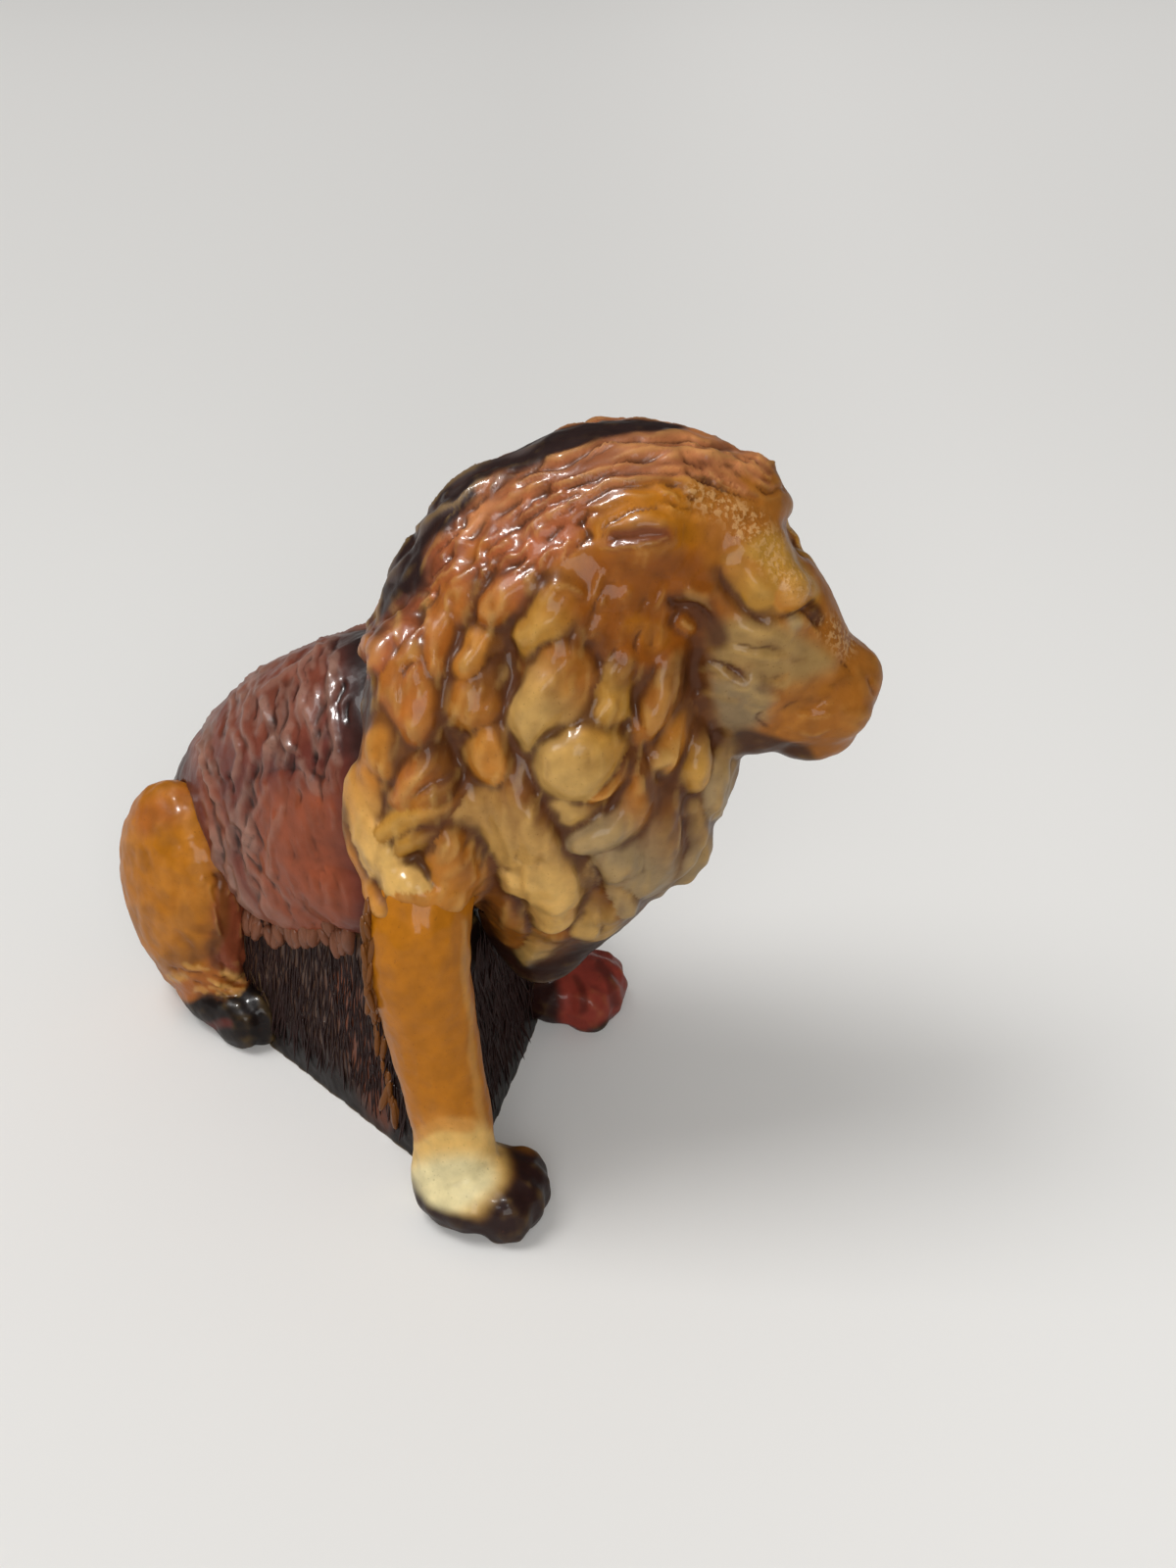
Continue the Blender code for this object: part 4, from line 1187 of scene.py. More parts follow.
RIDGE_COATS_AND_SHADOW = (
    Patch(Tint.AMBER, 7, ((330, 700), (350, 656), (392, 650), (412, 616), (434, 598), (438, 570),
        (450, 554), (470, 542), (484, 524), (498, 506), (518, 488), (544, 480), (570, 468),
        (592, 458), (617, 456), (650, 453), (684, 446), (700, 430), (640, 400), (500, 400),
        (380, 500), (300, 640))),
    Patch(Tint.AMBER, 4, ((780, 452), (786, 464), (790, 478), (806, 486), (816, 470), (800, 446)),
        0.95),
    Spray(Tint.MAHOGANY, 3, ((720, 470), (750, 478), (784, 494)), 0.8),
    Spray(Tint.MAHOGANY, 3, ((730, 462), (760, 470), (786, 484)), 0.8),
    Spray(Tint.MAHOGANY, 3, ((712, 480), (740, 492), (772, 506)), 0.7),
    # Painted shadow on the underside of the beard
    Patch(Tint.AMBER, 7, ((476, 946), (506, 960), (532, 977), (556, 979), (600, 966), (650, 950),
        (660, 1020), (476, 1020)), 0.9),
    Patch(Tint.AMBER, 8, ((330, 690), (372, 680), (376, 720), (364, 750), (330, 770)), 0.9),
    Spray(Tint.SMOKE, 4, ((344, 642), (362, 619), (392, 576), (443, 526), (495, 482), (555, 451)),
        0.6),
    Spray(Tint.SMOKE, 4, ((406, 592), (417, 562), (450, 533), (495, 499)), 0.5),
)
MOTTLED_AREA = (
    ((716, 506), (734, 516), (754, 524), (770, 534)),
    ((756, 540), (776, 546), (790, 556)),
    ((784, 570), (800, 584), (814, 596)),
    ((850, 640), (862, 656)),
)


def fan(first: tuple, last: tuple, count: int) -> list:
    """Lines of pixels spread between two guide lines.

    Args:
        first: the first guide.
        last: the last guide, with as many points.
        count: how many lines.

    Returns:
        The lines, both guides among them.
    """
    guides = np.array(first, float), np.array(last, float)
    shares = [number / (count - 1) for number in range(count)]
    return [tuple(map(tuple, guides[0] + (guides[1] - guides[0]) * share)) for share in shares]


@dataclass
class HeadAndMane:
    """The face, the ears and the mane, which read as one skin.

    The strands of the crown, the feathers and the mottle are in pixels, but a strand's height
    is in millimetres.
    """

    seed: int = 5
    grain: float = 0.45 * MM
    seam_swell: float = 0.25 * MM
    relaxing: int = 6
    smoothing: float = 0.3
    hair_smoothing: float = 0.2
    smoothing_rounds: int = 26
    ear_smoothing: float = 0.5
    ear_rounds: int = 30
    cuff_height: float = 45 * MM
    floor: float = 0.6 * MM
    crown_lines: int = 23
    crown_shake: float = 4.0
    crown_spray: float = 0.5
    strand_width: float = 8.5
    strand_height: float = 0.6
    ear_feather: float = 12.0
    mottle_core: float = 4.0
    mottle_reach: float = 22.0
    face_start: float = 24 * MM
    face_end: float = 30 * MM

    def build(self) -> Skin:
        """Fuses the head and the mane, sculpts and sprays both."""
        tops = {"right_foreleg": self.cuff_height, "left_foreleg": self.cuff_height}
        nodes = ("head", "mane")
        skin = Skin("head_and_mane", nodes, self.grain, self.seam_swell, self.relaxing, tops)
        hair = self.hair_share(skin)
        share = self.smoothing + self.hair_smoothing * hair
        skin.write(skin.averaged(skin.points, share, self.smoothing_rounds))
        for _ in range(2):
            share = self.ear_smoothing * self.ear_share(skin)
            skin.write(skin.averaged(skin.points, share, self.ear_rounds))
        sculpture = Sculpture(skin, Tint.SIENNA, HEAD_MIRROR, self.floor, LOCKED_AREA)
        sculpture.spray(MANE_COATS_AND_SHADE)
        sculpture.hang(MANE_LOCKS + FACE_LOCKS)
        sculpture.spray(RIDGE_COATS_AND_SHADOW)
        chance = random.Random(self.seed)
        self.comb_crown(sculpture, chance)
        for ruff in CROWN_RUFFLES:
            sculpture.ruffle(ruff, chance)
        sculpture.press(MANE_STROKES + FACE_STROKES)
        sculpture.shave(PROFILE_STROKES)
        skin.paint("mottle", sculpture.joined(self.mottle(sculpture)[:, None])[:, 0])
        sculpture.finish()
        return skin

    def comb_crown(self, sculpture: Sculpture, chance: random.Random) -> None:
        """Combs long strands from the forelock over the crown.

        Args:
            sculpture: the work on the skin.
            chance: where their wavering comes from.
        """
        for number, line in enumerate(fan(CROWN_TOP, CROWN_LOW, self.crown_lines)):
            # Ridges are sprayed paler and grooves darker: painted highlights and painted shade
            # along the strands
            relief = Relief.RIDGE if number % 2 else Relief.GROOVE
            tint = Tint.TERRACOTTA if number % 2 else Tint.MAHOGANY
            first = chance.randint(0, 3)
            shake = self.crown_shake
            line = [(x, y + chance.uniform(-shake, shake)) for x, y in line[first:]]
            height = self.strand_height * chance.uniform(0.3, 1)
            width = self.strand_width * chance.uniform(0.7, 1.5)
            sculpture.press((Stroke(relief, width, height, line),))
            sculpture.spray((Spray(tint, width / 2, line, self.crown_spray),))

    def ear_share(self, skin: Skin) -> np.ndarray:
        """How much each vertex belongs to an ear, of either side."""
        places = VIEW.pixels(HEAD_MIRROR.folded(skin.points))
        found = cover(places, EAR_AREA, self.ear_feather)
        share = np.zeros(len(places))
        share[found.chosen] = soft_step(found.depth, -self.ear_feather, 8)
        return share

    def hair_share(self, skin: Skin) -> np.ndarray:
        """How much each vertex belongs to the hair rather than to the face."""
        low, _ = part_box("head")
        ahead = np.array((math.sin(HEAD_TURN), -math.cos(HEAD_TURN)))
        forward = (skin.points[:, :2] - np.array(HEAD_PLACE)) @ ahead
        rise = skin.points[:, 2] - low.z
        face = soft_step(forward, self.face_start, self.face_end)
        return 1 - face * soft_step(rise, -1 * MM, 3 * MM)

    def mottle(self, sculpture: Sculpture) -> np.ndarray:
        """Where the brow and the temple are rough with pale flecks."""
        rough = np.zeros(len(sculpture.places))
        for pixels in MOTTLED_AREA:
            found = trace(sculpture.places, pixels, self.mottle_reach)
            share = 1 - soft_step(found.distance, self.mottle_core, self.mottle_reach)
            rough[found.chosen] = np.maximum(rough[found.chosen], share)
        return rough


# The strokes and coats of the trunk, with the painted sheen of its hair streaks, and the hair of
# the near haunch
TORSO_STREAKS = (
    ((342, 648), (317, 670), (291, 689), (266, 705)),
    ((304, 654), (279, 677), (253, 696)),
    ((340, 670), (336, 705), (339, 740), (346, 779)),
    ((311, 718), (320, 747), (323, 769)),
    ((298, 737), (291, 756), (304, 769)),
    ((269, 712), (275, 740), (279, 766)),
    ((253, 708), (250, 740), (259, 772)),
    ((240, 745), (243, 771)),
    ((212, 734), (212, 766), (218, 785)),
    ((205, 755), (212, 798), (228, 842)),
    ((259, 798), (240, 836), (237, 871), (250, 913), (279, 948)),
    ((272, 804), (256, 842), (253, 881), (266, 919), (291, 948)),
    ((291, 823), (279, 855), (279, 887), (298, 919)),
    ((307, 779), (323, 810)),
    ((218, 842), (221, 874), (240, 906), (259, 938)),
    ((228, 855), (234, 887), (250, 919), (272, 945)),
)
TORSO_STROKES = (
    Stroke(Relief.GROOVE, 12, 0.4, ((205, 770), (214, 812), (224, 850), (236, 900))),
    Stroke(Relief.SWELL, 90, 0.8, ((310, 850), (305, 890))),
    Stroke(Relief.GROOVE, 20, 0.4, ((250, 790), (300, 785), (345, 800))),
)
TORSO_COATS = (
    Patch(Tint.MAROON, 16, ((352, 640), (300, 650), (240, 690), (190, 760), (200, 900), (240, 980),
        (370, 980), (360, 800))),
    Patch(Tint.CHESTNUT, 20, ((262, 810), (330, 800), (352, 860), (350, 960), (290, 960),
        (256, 900))),
    Spray(Tint.AMBER, 14, ((350, 660), (354, 720), (356, 760)), 0.55),
    Spray(Tint.PITCH, 12, ((290, 700), (280, 730), (290, 780)), 0.5),
    Spray(Tint.CHESTNUT, 12, ((205, 760), (214, 800), (222, 850)), 0.7),
    Patch(Tint.CHESTNUT, 20, ((330, 650), (270, 674), (220, 720), (216, 760), (300, 760),
        (340, 700)), 0.45),
)
TORSO_RUFFLES = (
    Ruffle(((350, 650), (300, 660), (250, 690), (205, 740), (200, 790), (260, 800), (356, 780)),
        (-6, 34), 110, 7, 0.3, Tint.HAIR, Tint.PITCH, 0.24),
    Ruffle(((204, 780), (256, 800), (262, 850), (280, 950), (240, 960), (216, 900)), (10, 34), 60,
        7, 0.35, Tint.HAIR, Tint.PITCH, 0.24),
    Ruffle(((262, 800), (350, 790), (352, 950), (300, 960), (262, 900)), (4, 30), 60, 6, 0.18,
        Tint.CHESTNUT, Tint.MAHOGANY, 0.3),
)
HAUNCH_RUFFLES = (
    Ruffle(((204, 800), (262, 800), (270, 990), (226, 1000), (214, 940)), (6, 24), 50, 7, 0.35,
        Tint.CHESTNUT, Tint.UMBER),
    Ruffle(((120, 850), (160, 816), (206, 806), (216, 940), (206, 976), (150, 990)), (8, 26), 44,
        15, 0.12, Tint.HONEY, Tint.BARK, 0.28),
    Ruffle(((174, 988), (236, 984), (244, 1014), (190, 1022)), (14, 4), 26, 6, 0.25, Tint.STRAW,
        Tint.BARK, 0.35),
)


@dataclass
class Trunk:
    """The back, flanks and rump, with their lines of short hair."""

    grain: float = 0.45 * MM
    seam_swell: float = 0.25 * MM
    relaxing: int = 12
    seed: int = 7
    streak_width: float = 8.0
    streak_height: float = 0.4
    sheen_strength: float = 0.35

    def build(self) -> Skin:
        """Copies the trunk, sculpts its hair and sprays it."""
        skin = Skin("trunk", ("torso",), self.grain, self.seam_swell, self.relaxing)
        sculpture = Sculpture(skin, Tint.AMBER, BODY_MIRROR)
        sculpture.spray(TORSO_COATS)
        sculpture.press(TORSO_STROKES)
        # Each of these lines is raised and sprayed pale as painted sheen
        for line in TORSO_STREAKS:
            sheen_streak = Spray(Tint.HAIR, self.streak_width / 2, line, self.sheen_strength)
            sculpture.spray((sheen_streak,))
            ridge = Stroke(Relief.RIDGE, self.streak_width, self.streak_height, line)
            sculpture.press((ridge,))
        chance = random.Random(self.seed)
        for ruff in TORSO_RUFFLES:
            sculpture.ruffle(ruff, chance)
        skin.paint("mottle", np.zeros(len(skin.points)))
        sculpture.finish()
        return skin


# The coats of the legs and the web, with painted glow along the feet and painted shade between
# the far toes
FORELEG_COATS_AND_GLOW = (
    Patch(Tint.OCHRE, 6, ((360, 920), (470, 920), (480, 1060), (500, 1170), (440, 1190),
        (400, 1160), (366, 1040))),
    Spray(Tint.STRAW, 5, ((374, 950), (378, 1040), (398, 1110)), 0.6),
    Spray(Tint.STRAW, 4, ((474, 944), (476, 1000), (484, 1080), (494, 1150)), 0.25),
    Spray(Tint.HONEY, 20, ((440, 1150), (466, 1160)), 0.8),
    Patch(Tint.STRAW, 10, ((404, 1172), (440, 1150), (490, 1150), (520, 1170), (520, 1220),
        (480, 1250), (410, 1250))),
    Patch(Tint.CREAM, 12, ((410, 1196), (446, 1178), (486, 1180), (506, 1200), (496, 1222),
        (466, 1242), (420, 1244))),
    Patch(Tint.AMBER, 14, ((512, 1164), (575, 1180), (580, 1250), (520, 1290), (480, 1262),
        (500, 1226), (520, 1200))),
    Spray(Tint.AMBER, 13, ((404, 1204), (414, 1220), (430, 1236), (452, 1246), (478, 1254),
        (512, 1262), (548, 1250)), 1.0),
    # Painted glow: a red rim where light comes through the amber at the foot's lower edge
    Spray(Tint.MAHOGANY, 5, ((430, 1252), (470, 1270), (520, 1274)), 0.6),
    Spray(Tint.CREAM, 10, ((450, 1196), (476, 1200)), 0.9),
    Spray(Tint.HONEY, 6, ((424, 1160), (446, 1150), (480, 1152)), 0.6),
)
HIND_COATS_AND_GLOW = (
    Patch(Tint.CHESTNUT, 15, ((208, 800), (280, 800), (290, 1000), (216, 985), (218, 930),
        (212, 870))),
    Spray(Tint.ORANGE, 18, ((146, 836), (165, 826), (185, 816))),
    Spray(Tint.BARK, 9, ((212, 830), (224, 880), (228, 930), (218, 966)), 0.7),
    Spray(Tint.HONEY, 14, ((140, 930), (160, 950), (190, 940)), 0.6),
    Spray(Tint.BARK, 9, ((160, 985), (190, 978), (218, 966)), 0.7),
    Spray(Tint.UMBER, 8, ((190, 930), (200, 944), (216, 950)), 0.4),
    Patch(Tint.ORANGE, 6, ((178, 992), (206, 988), (236, 990), (244, 1010), (220, 1018),
        (186, 1020))),
    Patch(Tint.PITCH, 4, ((176, 1018), (190, 1021), (210, 1017), (240, 1014), (252, 1000),
        (262, 980), (300, 990), (300, 1090), (200, 1090), (170, 1040))),
    # Painted glow: a red rim where light comes through the amber at the foot's lower edge
    Spray(Tint.AMBER_RED, 5, ((196, 1042), (216, 1048), (236, 1046)), 0.3),
)
FAR_PAW_COATS_GLOW_AND_SHADE = (
    # The far paw's bright red is partly the amber's own colour and partly painted glow of light
    # through it
    Patch(Tint.AMBER_RED, 14, ((570, 968), (610, 960), (640, 990), (640, 1060), (570, 1060))),
    Patch(Tint.AMBER, 7, ((520, 950), (562, 955), (566, 1000), (572, 1060), (520, 1070)), 0.95),
    # Painted shade between the toes
    Spray(Tint.AMBER, 5, ((588, 996), (594, 1010), (596, 1030)), 0.5),
    Spray(Tint.AMBER, 5, ((612, 984), (624, 1000), (628, 1024)), 0.5),
    Patch(Tint.PITCH, 5, ((540, 1060), (560, 1050), (600, 1050), (640, 1036), (650, 1070),
        (560, 1080))),
)
WEB_COATS = (
    Patch(Tint.TAUPE, 16, ((236, 930), (372, 930), (380, 1120), (350, 1090), (310, 1050),
        (280, 1010), (240, 975)), 0.65),
    Spray(Tint.MAHOGANY, 16, ((350, 1000), (366, 1060), (388, 1140)), 0.7),
    Spray(Tint.PITCH, 14, ((230, 1000), (270, 1030), (320, 1080), (380, 1150)), 0.8),
)
# Where the belly meets the web, and the back of the near foreleg
BELLY_EDGE = ((232, 920), (246, 932), (262, 942), (284, 948), (308, 952), (332, 954), (356, 958))
ELBOW_EDGE = ((376, 930), (377, 960), (380, 1000), (387, 1050), (396, 1100), (405, 1140))


@dataclass
class Limb:
    """A leg, the web or the tail: one solid with its own coat."""

    node: str
    bare: Tint
    coats: tuple = ()
    ruffles: tuple = ()
    seed: int = 2
    grain: float = 0.30 * MM
    seam_swell: float = 0.25 * MM
    relaxing: int = 10

    def build(self) -> Skin:
        """Copies the solid, sculpts it and sprays it."""
        name = self.node + "_skin"
        skin = Skin(name, (self.node,), self.grain, self.seam_swell, self.relaxing)
        sculpture = Sculpture(skin, self.bare, ALL_SEEN)
        sculpture.spray(self.coats)
        chance = random.Random(self.seed)
        for ruff in self.ruffles:
            sculpture.ruffle(ruff, chance)
        skin.paint("mottle", np.zeros(len(skin.points)))
        sculpture.finish()
        return skin


LIMBS = (
    (Limb("right_foreleg", Tint.OCHRE, FORELEG_COATS_AND_GLOW), "ochre_coat"),
    (Limb("left_foreleg", Tint.GARNET, FAR_PAW_COATS_GLOW_AND_SHADE), "dark_amber"),
    (Limb("right_hind_leg", Tint.OCHRE, HIND_COATS_AND_GLOW, HAUNCH_RUFFLES), "ochre_coat"),
    (Limb("left_hind_leg", Tint.GARNET), "dark_amber"),
    (Limb("leg_web", Tint.PITCH, WEB_COATS), "dark_amber"),
    (Limb("tail", Tint.MAROON), "dark_amber"),
)


class Spread(Enum):
    """Where strands stand."""

    SURFACE = "over the faces of the guide"
    PATH = "along the edges of the guide"


@dataclass
class Strands:
    """Tapered strands of hair, spread by Geometry Nodes and turned into one plain mesh.

    They lie along the surface as they fall, with a share of lean away from it. Each is from
    least to most times as long and wide as the sizes say, strays from its way by a share and
    stands off its place by up to scatter, or twice that up and down. On a path, they lean to the
    near side.
    """

    name: str
    spread: Spread
    spacing: float
    width: float
    length: float
    lean: float
    tint: Tint
    stray: float = 0.16
    scatter: float = 0.0
    seed: int = 4
    segments: int = 6
    rings: int = 5
    crowding: float = 2.0
    least: float = 0.55
    most: float = 1.25
    near_side: tuple = (-0.94, -0.34, 0.0)

    def build(self, guide: bpy.types.Mesh) -> bpy.types.Object:
        """Hangs the strands on a guide.

        Args:
            guide: the faces, or the edges, that they follow.

        Returns:
            The strands.
        """
        tree = self.tree()
        carrier = bpy.data.objects.new(self.name + "_guide", guide)
        bpy.context.scene.collection.objects.link(carrier)
        nodes = carrier.modifiers.new("strands", "NODES")
        nodes.node_group = tree
        values = {"Spacing": self.spacing, "Width": self.width, "Length": self.length}
        values |= {"Lean": self.lean, "Seed": self.seed}
        values["Coat"] = CoatFinish(self.name + "_coat", bare=self.tint).material()
        for item in tree.interface.items_tree:
            if item.name in values:
                nodes[item.identifier] = values[item.name]
        graph = bpy.context.evaluated_depsgraph_get()
        graph.update()
        mesh = bpy.data.meshes.new_from_object(carrier.evaluated_get(graph))
        carrier.modifiers.clear()
        bpy.data.objects.remove(carrier)
        strands = bpy.data.objects.new(self.name, mesh)
        bpy.context.scene.collection.objects.link(strands)
        return strands

    def tree(self) -> bpy.types.NodeTree:
        """The node tree, whose inputs are the strands' sizes."""
        tree = bpy.data.node_groups.new(self.name, "GeometryNodeTree")
        sockets = {"Guide": "Geometry", "Spacing": "Float", "Width": "Float", "Length": "Float"}
        sockets |= {"Lean": "Float", "Seed": "Int", "Coat": "Material"}
        for label, kind in sockets.items():
            tree.interface.new_socket(label, in_out="INPUT", socket_type="NodeSocket" + kind)
        tree.interface.new_socket("Strands", in_out="OUTPUT", socket_type="NodeSocketGeometry")
        sources = tree.nodes.new("NodeGroupInput").outputs
        given = {socket.name: Wire(tree, socket) for socket in sources}
        spacing, seed = given["Spacing"], given["Seed"]
        if self.spread is Spread.SURFACE:
            kind, evenly = "GeometryNodeDistributePointsOnFaces", {"distribute_method": "POISSON"}
            sizes = {"Distance Min": spacing, "Seed": seed}
            sizes["Density Max"] = self.crowding / self.spacing**2
            spots = add_node(tree, kind, evenly, given["Guide"], **sizes)
            outward = Wire(tree, spots.socket.node.outputs["Normal"])
        else:
            path = add_node(tree, "GeometryNodeMeshToCurve", {}, given["Guide"])
            resample, by_length = "GeometryNodeResampleCurve", {"mode": "LENGTH"}
            spots = add_node(tree, resample, by_length, path, Length=spacing)
            outward = add_node(tree, "ShaderNodeCombineXYZ", {}, *self.near_side)
        vector, random_value = "ShaderNodeVectorMath", "FunctionNodeRandomValue"
        chance = {"data_type": "FLOAT_VECTOR"}
        most = np.array((1, 1, 2)) * self.scatter
        moved = add_node(tree, random_value, chance, -most, most, None, seed + 2)
        spots = add_node(tree, "GeometryNodeSetPosition", {}, spots, None, None, moved)
        down, dot, plus = (0, 0, -1), {"operation": "DOT_PRODUCT"}, {"operation": "ADD"}
        along = add_node(tree, vector, dot, outward, down, output="Value")
        lean = given["Lean"] - along
        leant = add_node(tree, vector, {"operation": "SCALE"}, outward, Scale=lean)
        stray = np.full(3, self.stray)
        strayed = add_node(tree, random_value, chance, -stray, stray, None, seed)
        fall = add_node(tree, vector, plus, add_node(tree, vector, plus, down, leant), strayed)
        align = "FunctionNodeAlignRotationToVector"
        turned = add_node(tree, align, {"axis": "Z"}, None, None, fall)
        number = {"data_type": "FLOAT"}
        size = add_node(tree, random_value, number, self.least, self.most, None, seed + 1)
        wide, tall = size * given["Width"], size * given["Length"]
        scale = add_node(tree, "ShaderNodeCombineXYZ", {}, wide, wide, tall)
        strand = add_node(tree, "GeometryNodeMeshUVSphere", {}, self.segments, self.rings, 0.5)
        placing = {"Instance": strand, "Rotation": turned, "Scale": scale}
        spread = add_node(tree, "GeometryNodeInstanceOnPoints", {}, spots, **placing)
        plain = add_node(tree, "GeometryNodeRealizeInstances", {}, spread)
        smooth = add_node(tree, "GeometryNodeSetShadeSmooth", {}, plain)
        coated = add_node(tree, "GeometryNodeSetMaterial", {}, smooth, None, given["Coat"])
        tree.links.new(coated.socket, tree.nodes.new("NodeGroupOutput").inputs["Strands"])
        return tree


COMBED_HEIGHTS = (5 * MM, 26 * MM)
COMBED_HAIR = Strands(
    name="combed_hair",
    spread=Spread.SURFACE,
    spacing=0.75 * MM,
    width=0.30 * MM,
    length=7.0 * MM,
    lean=0.02,
    tint=Tint.AMBER,
)
BELLY_TUFTS = Strands(
    name="belly_tufts",
    spread=Spread.PATH,
    spacing=0.8 * MM,
    width=2.1 * MM,
    length=4.6 * MM,
    lean=0.05,
    tint=Tint.TAWNY,
    stray=0.35,
    scatter=0.6 * MM,
)
ELBOW_FRINGE = Strands(
    name="elbow_fringe",
    spread=Spread.PATH,
    spacing=0.5 * MM,
    width=1.1 * MM,
    length=4.6 * MM,
    lean=0.05,
    tint=Tint.BARK,
    stray=0.25,
    scatter=0.7 * MM,
)


def hang_strands(strands: Strands, guide: bpy.types.Mesh) -> None:
    """Builds strands on a guide and gives them their place in the frame.

    Args:
        strands: their sizes.
        guide: what they follow.
    """
    piece = strands.build(guide)
    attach(piece, BODY)
    log.info("%s: %d faces", piece.name, len(piece.data.polygons))


def upright_faces(skin: Skin, low: float, high: float, steep: float = 0.4) -> bpy.types.Mesh:
    """The steep faces of a skin between two heights.

    Args:
        skin: the skin.
        low: the lower height.
        high: the upper height.
        steep: how far a steep face's normal may rise or fall.

    Returns:
        A mesh of those faces.
    """
    body = bmesh.new()
    body.from_mesh(skin.obj.data)
    others = [
        face
        for face in body.faces
        if abs(face.normal.z) > steep or not low < face.calc_center_median().z < high
    ]
    bmesh.ops.delete(body, geom=others, context="FACES")
    mesh = bpy.data.meshes.new("faces")
    body.to_mesh(mesh)
    body.free()
    return mesh


def edge_line(skins: tuple, pixels: tuple, both_sides: bool) -> bpy.types.Mesh:
    """A line of the photograph, laid over the skins that it crosses.

    Args:
        skins: the skins.
        pixels: its points.
        both_sides: whether the far side has it as well.

    Returns:
        A mesh of edges.
    """
    shapes = []
    for skin in skins:
        body = bmesh.new()
        body.from_mesh(skin.obj.data)
        shapes.append(BVHTree.FromBMesh(body))
        body.free()
    spots = []
    for pixel in smooth_line(pixels):
        hits = [shape.ray_cast(Vector(VIEW.place), VIEW.aim(pixel)) for shape in shapes]
        hits = [hit for hit in hits if hit[0] is not None]
        if hits:
            spots.append(min(hits, key=lambda hit: hit[3])[0])
    count = len(spots)
    links = [(number, number + 1) for number in range(count - 1)]
    if both_sides:
        spots += [Vector((2 * BODY_PLACE[0] - spot.x, spot.y, spot.z)) for spot in spots]
        links += [(count + first, count + second) for first, second in links]
    mesh = bpy.data.meshes.new("line")
    mesh.from_pydata(spots, links, [])
    return mesh


@dataclass(frozen=True)
class Lamp:
    """A square lamp, with its power in watts, that looks at the middle of the figure."""

    name: str
    place: tuple
    side: float
    power: float = 6.0
    gloss_only: bool = False
    target: tuple = (0, 0, 50 * MM)

    def build(self) -> None:
        """Adds it."""
        lamp = bpy.data.objects.new(self.name, bpy.data.lights.new(self.name, "AREA"))
        lamp.data.size = self.side
        lamp.data.energy = self.power
        lamp.visible_diffuse = not self.gloss_only
        lamp.location = self.place
        aim = Vector(self.target) - Vector(self.place)
        lamp.rotation_euler = aim.to_track_quat("-Z", "Y").to_euler()
        bpy.context.scene.collection.objects.link(lamp)


LAMPS = (
    Lamp("key", (-0.35, 0.30, 0.95), 0.55),
    Lamp("fill", (-0.75, -0.80, 0.60), 0.60),
    Lamp("spark", (-0.20, 0.15, 0.60), 0.14, gloss_only=True),
)


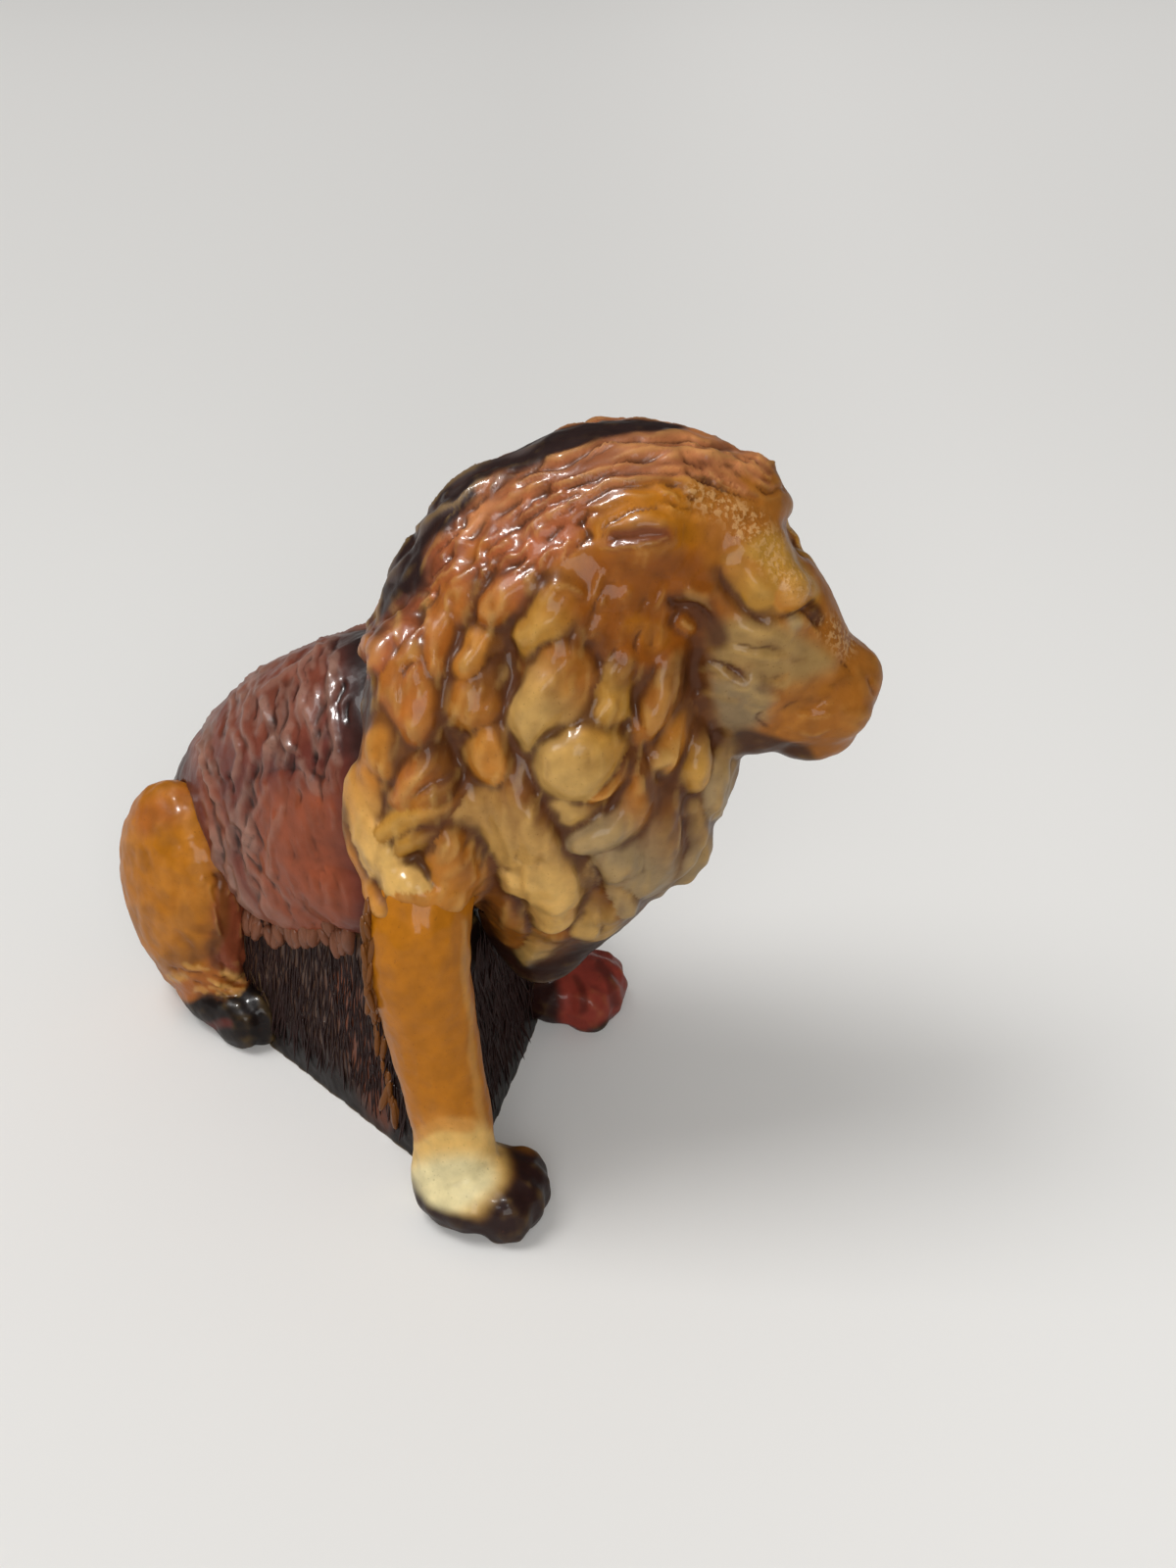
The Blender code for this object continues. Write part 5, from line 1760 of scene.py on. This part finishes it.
@dataclass
class Studio:
    """A pale sweep of paper and soft light.

    The paper glows for the camera alone, which adds no light to the figure. It glows more from
    one distance before the camera to another, and from one place at the camera's right hand to
    another.
    """

    reach: float = 3.0
    paper_tint: tuple = (0.70, 0.69, 0.67, 1.0)
    paper_roughness: float = 0.9
    paper_glow: float = 0.075
    distant_glow: float = 0.10
    side_glow: float = 0.07
    far_range: tuple = (480 * MM, 950 * MM)
    side_range: tuple = (-10 * MM, 110 * MM)
    world_tint: tuple = (1.0, 0.99, 0.97, 1.0)
    world: float = 0.32
    glossy_world: float = 0.05

    def build(self) -> None:
        """Adds the floor, the world and the lamps."""
        bpy.context.scene.view_settings.view_transform = "Standard"
        self.floor()
        self.sky()
        for lamp in LAMPS:
            lamp.build()

    def floor(self) -> None:
        """Adds the paper that the figure stands on."""
        body = bmesh.new()
        bmesh.ops.create_grid(body, x_segments=1, y_segments=1, size=self.reach)
        mesh = bpy.data.meshes.new("floor")
        body.to_mesh(mesh)
        body.free()
        floor = bpy.data.objects.new("floor", mesh)
        bpy.context.scene.collection.objects.link(floor)
        paper = bpy.data.materials.new("paper")
        paper.use_nodes = True
        tree = paper.node_tree
        shader = tree.nodes["Principled BSDF"]
        shader.inputs["Base Color"].default_value = self.paper_tint
        shader.inputs["Roughness"].default_value = self.paper_roughness
        place = add_node(tree, "ShaderNodeTexCoord", {}, output="Object")
        vector, dot = "ShaderNodeVectorMath", {"operation": "DOT_PRODUCT"}
        ahead = (-math.sin(VIEW.azimuth), math.cos(VIEW.azimuth), 0)
        run = add_node(tree, vector, dot, place, ahead, output="Value")
        distance = run - Vector(ahead).dot(Vector(VIEW.place))
        right = (math.cos(VIEW.azimuth), math.sin(VIEW.azimuth), 0)
        side = add_node(tree, vector, dot, place, right, output="Value")
        direct = add_node(tree, "ShaderNodeLightPath", {}, output="Is Camera Ray")
        far = distance.between(*self.far_range) * self.distant_glow
        aside = side.between(*self.side_range) * self.side_glow
        glow = direct * (far + aside + self.paper_glow)
        shader.inputs["Emission Color"].default_value = self.world_tint
        tree.links.new(glow.socket, shader.inputs["Emission Strength"])
        mesh.materials.append(paper)

    def sky(self) -> None:
        """Adds the world, which is dimmer in the gloss than it is as light."""
        world = bpy.data.worlds.new("world")
        world.use_nodes = True
        tree = world.node_tree
        path = add_node(tree, "ShaderNodeLightPath", {}, output="Is Glossy Ray")
        strength = self.world + path * (self.glossy_world - self.world)
        background = tree.nodes["Background"]
        background.inputs["Color"].default_value = self.world_tint
        tree.links.new(strength.socket, background.inputs["Strength"])
        bpy.context.scene.world = world


def main() -> None:
    """Builds the figure piece by piece."""
    VIEW.add_camera()
    Studio().build()
    dress(HeadAndMane().build(), CoatFinish("mane_coat"))
    trunk = Trunk().build()
    # The trunk's crevices are painted as shade and its ridges with painted sheen
    bare = CoatFinish("trunk_coat", crevice_shade_tint=Tint.PITCH, ridge_highlight_tint=Tint.HAIR)
    dress(trunk, bare)
    skins = {}
    for limb, slot in LIMBS:
        skins[limb.node] = limb.build()
        dress(skins[limb.node], CoatFinish(limb.node + "_coat"))
    web, foreleg = skins["leg_web"], skins["right_foreleg"]
    hang_strands(COMBED_HAIR, upright_faces(web, *COMBED_HEIGHTS))
    hang_strands(BELLY_TUFTS, edge_line((trunk, web), BELLY_EDGE, True))
    hang_strands(ELBOW_FRINGE, edge_line((web, foreleg), ELBOW_EDGE, False))


if __name__ == "__main__":
    main()
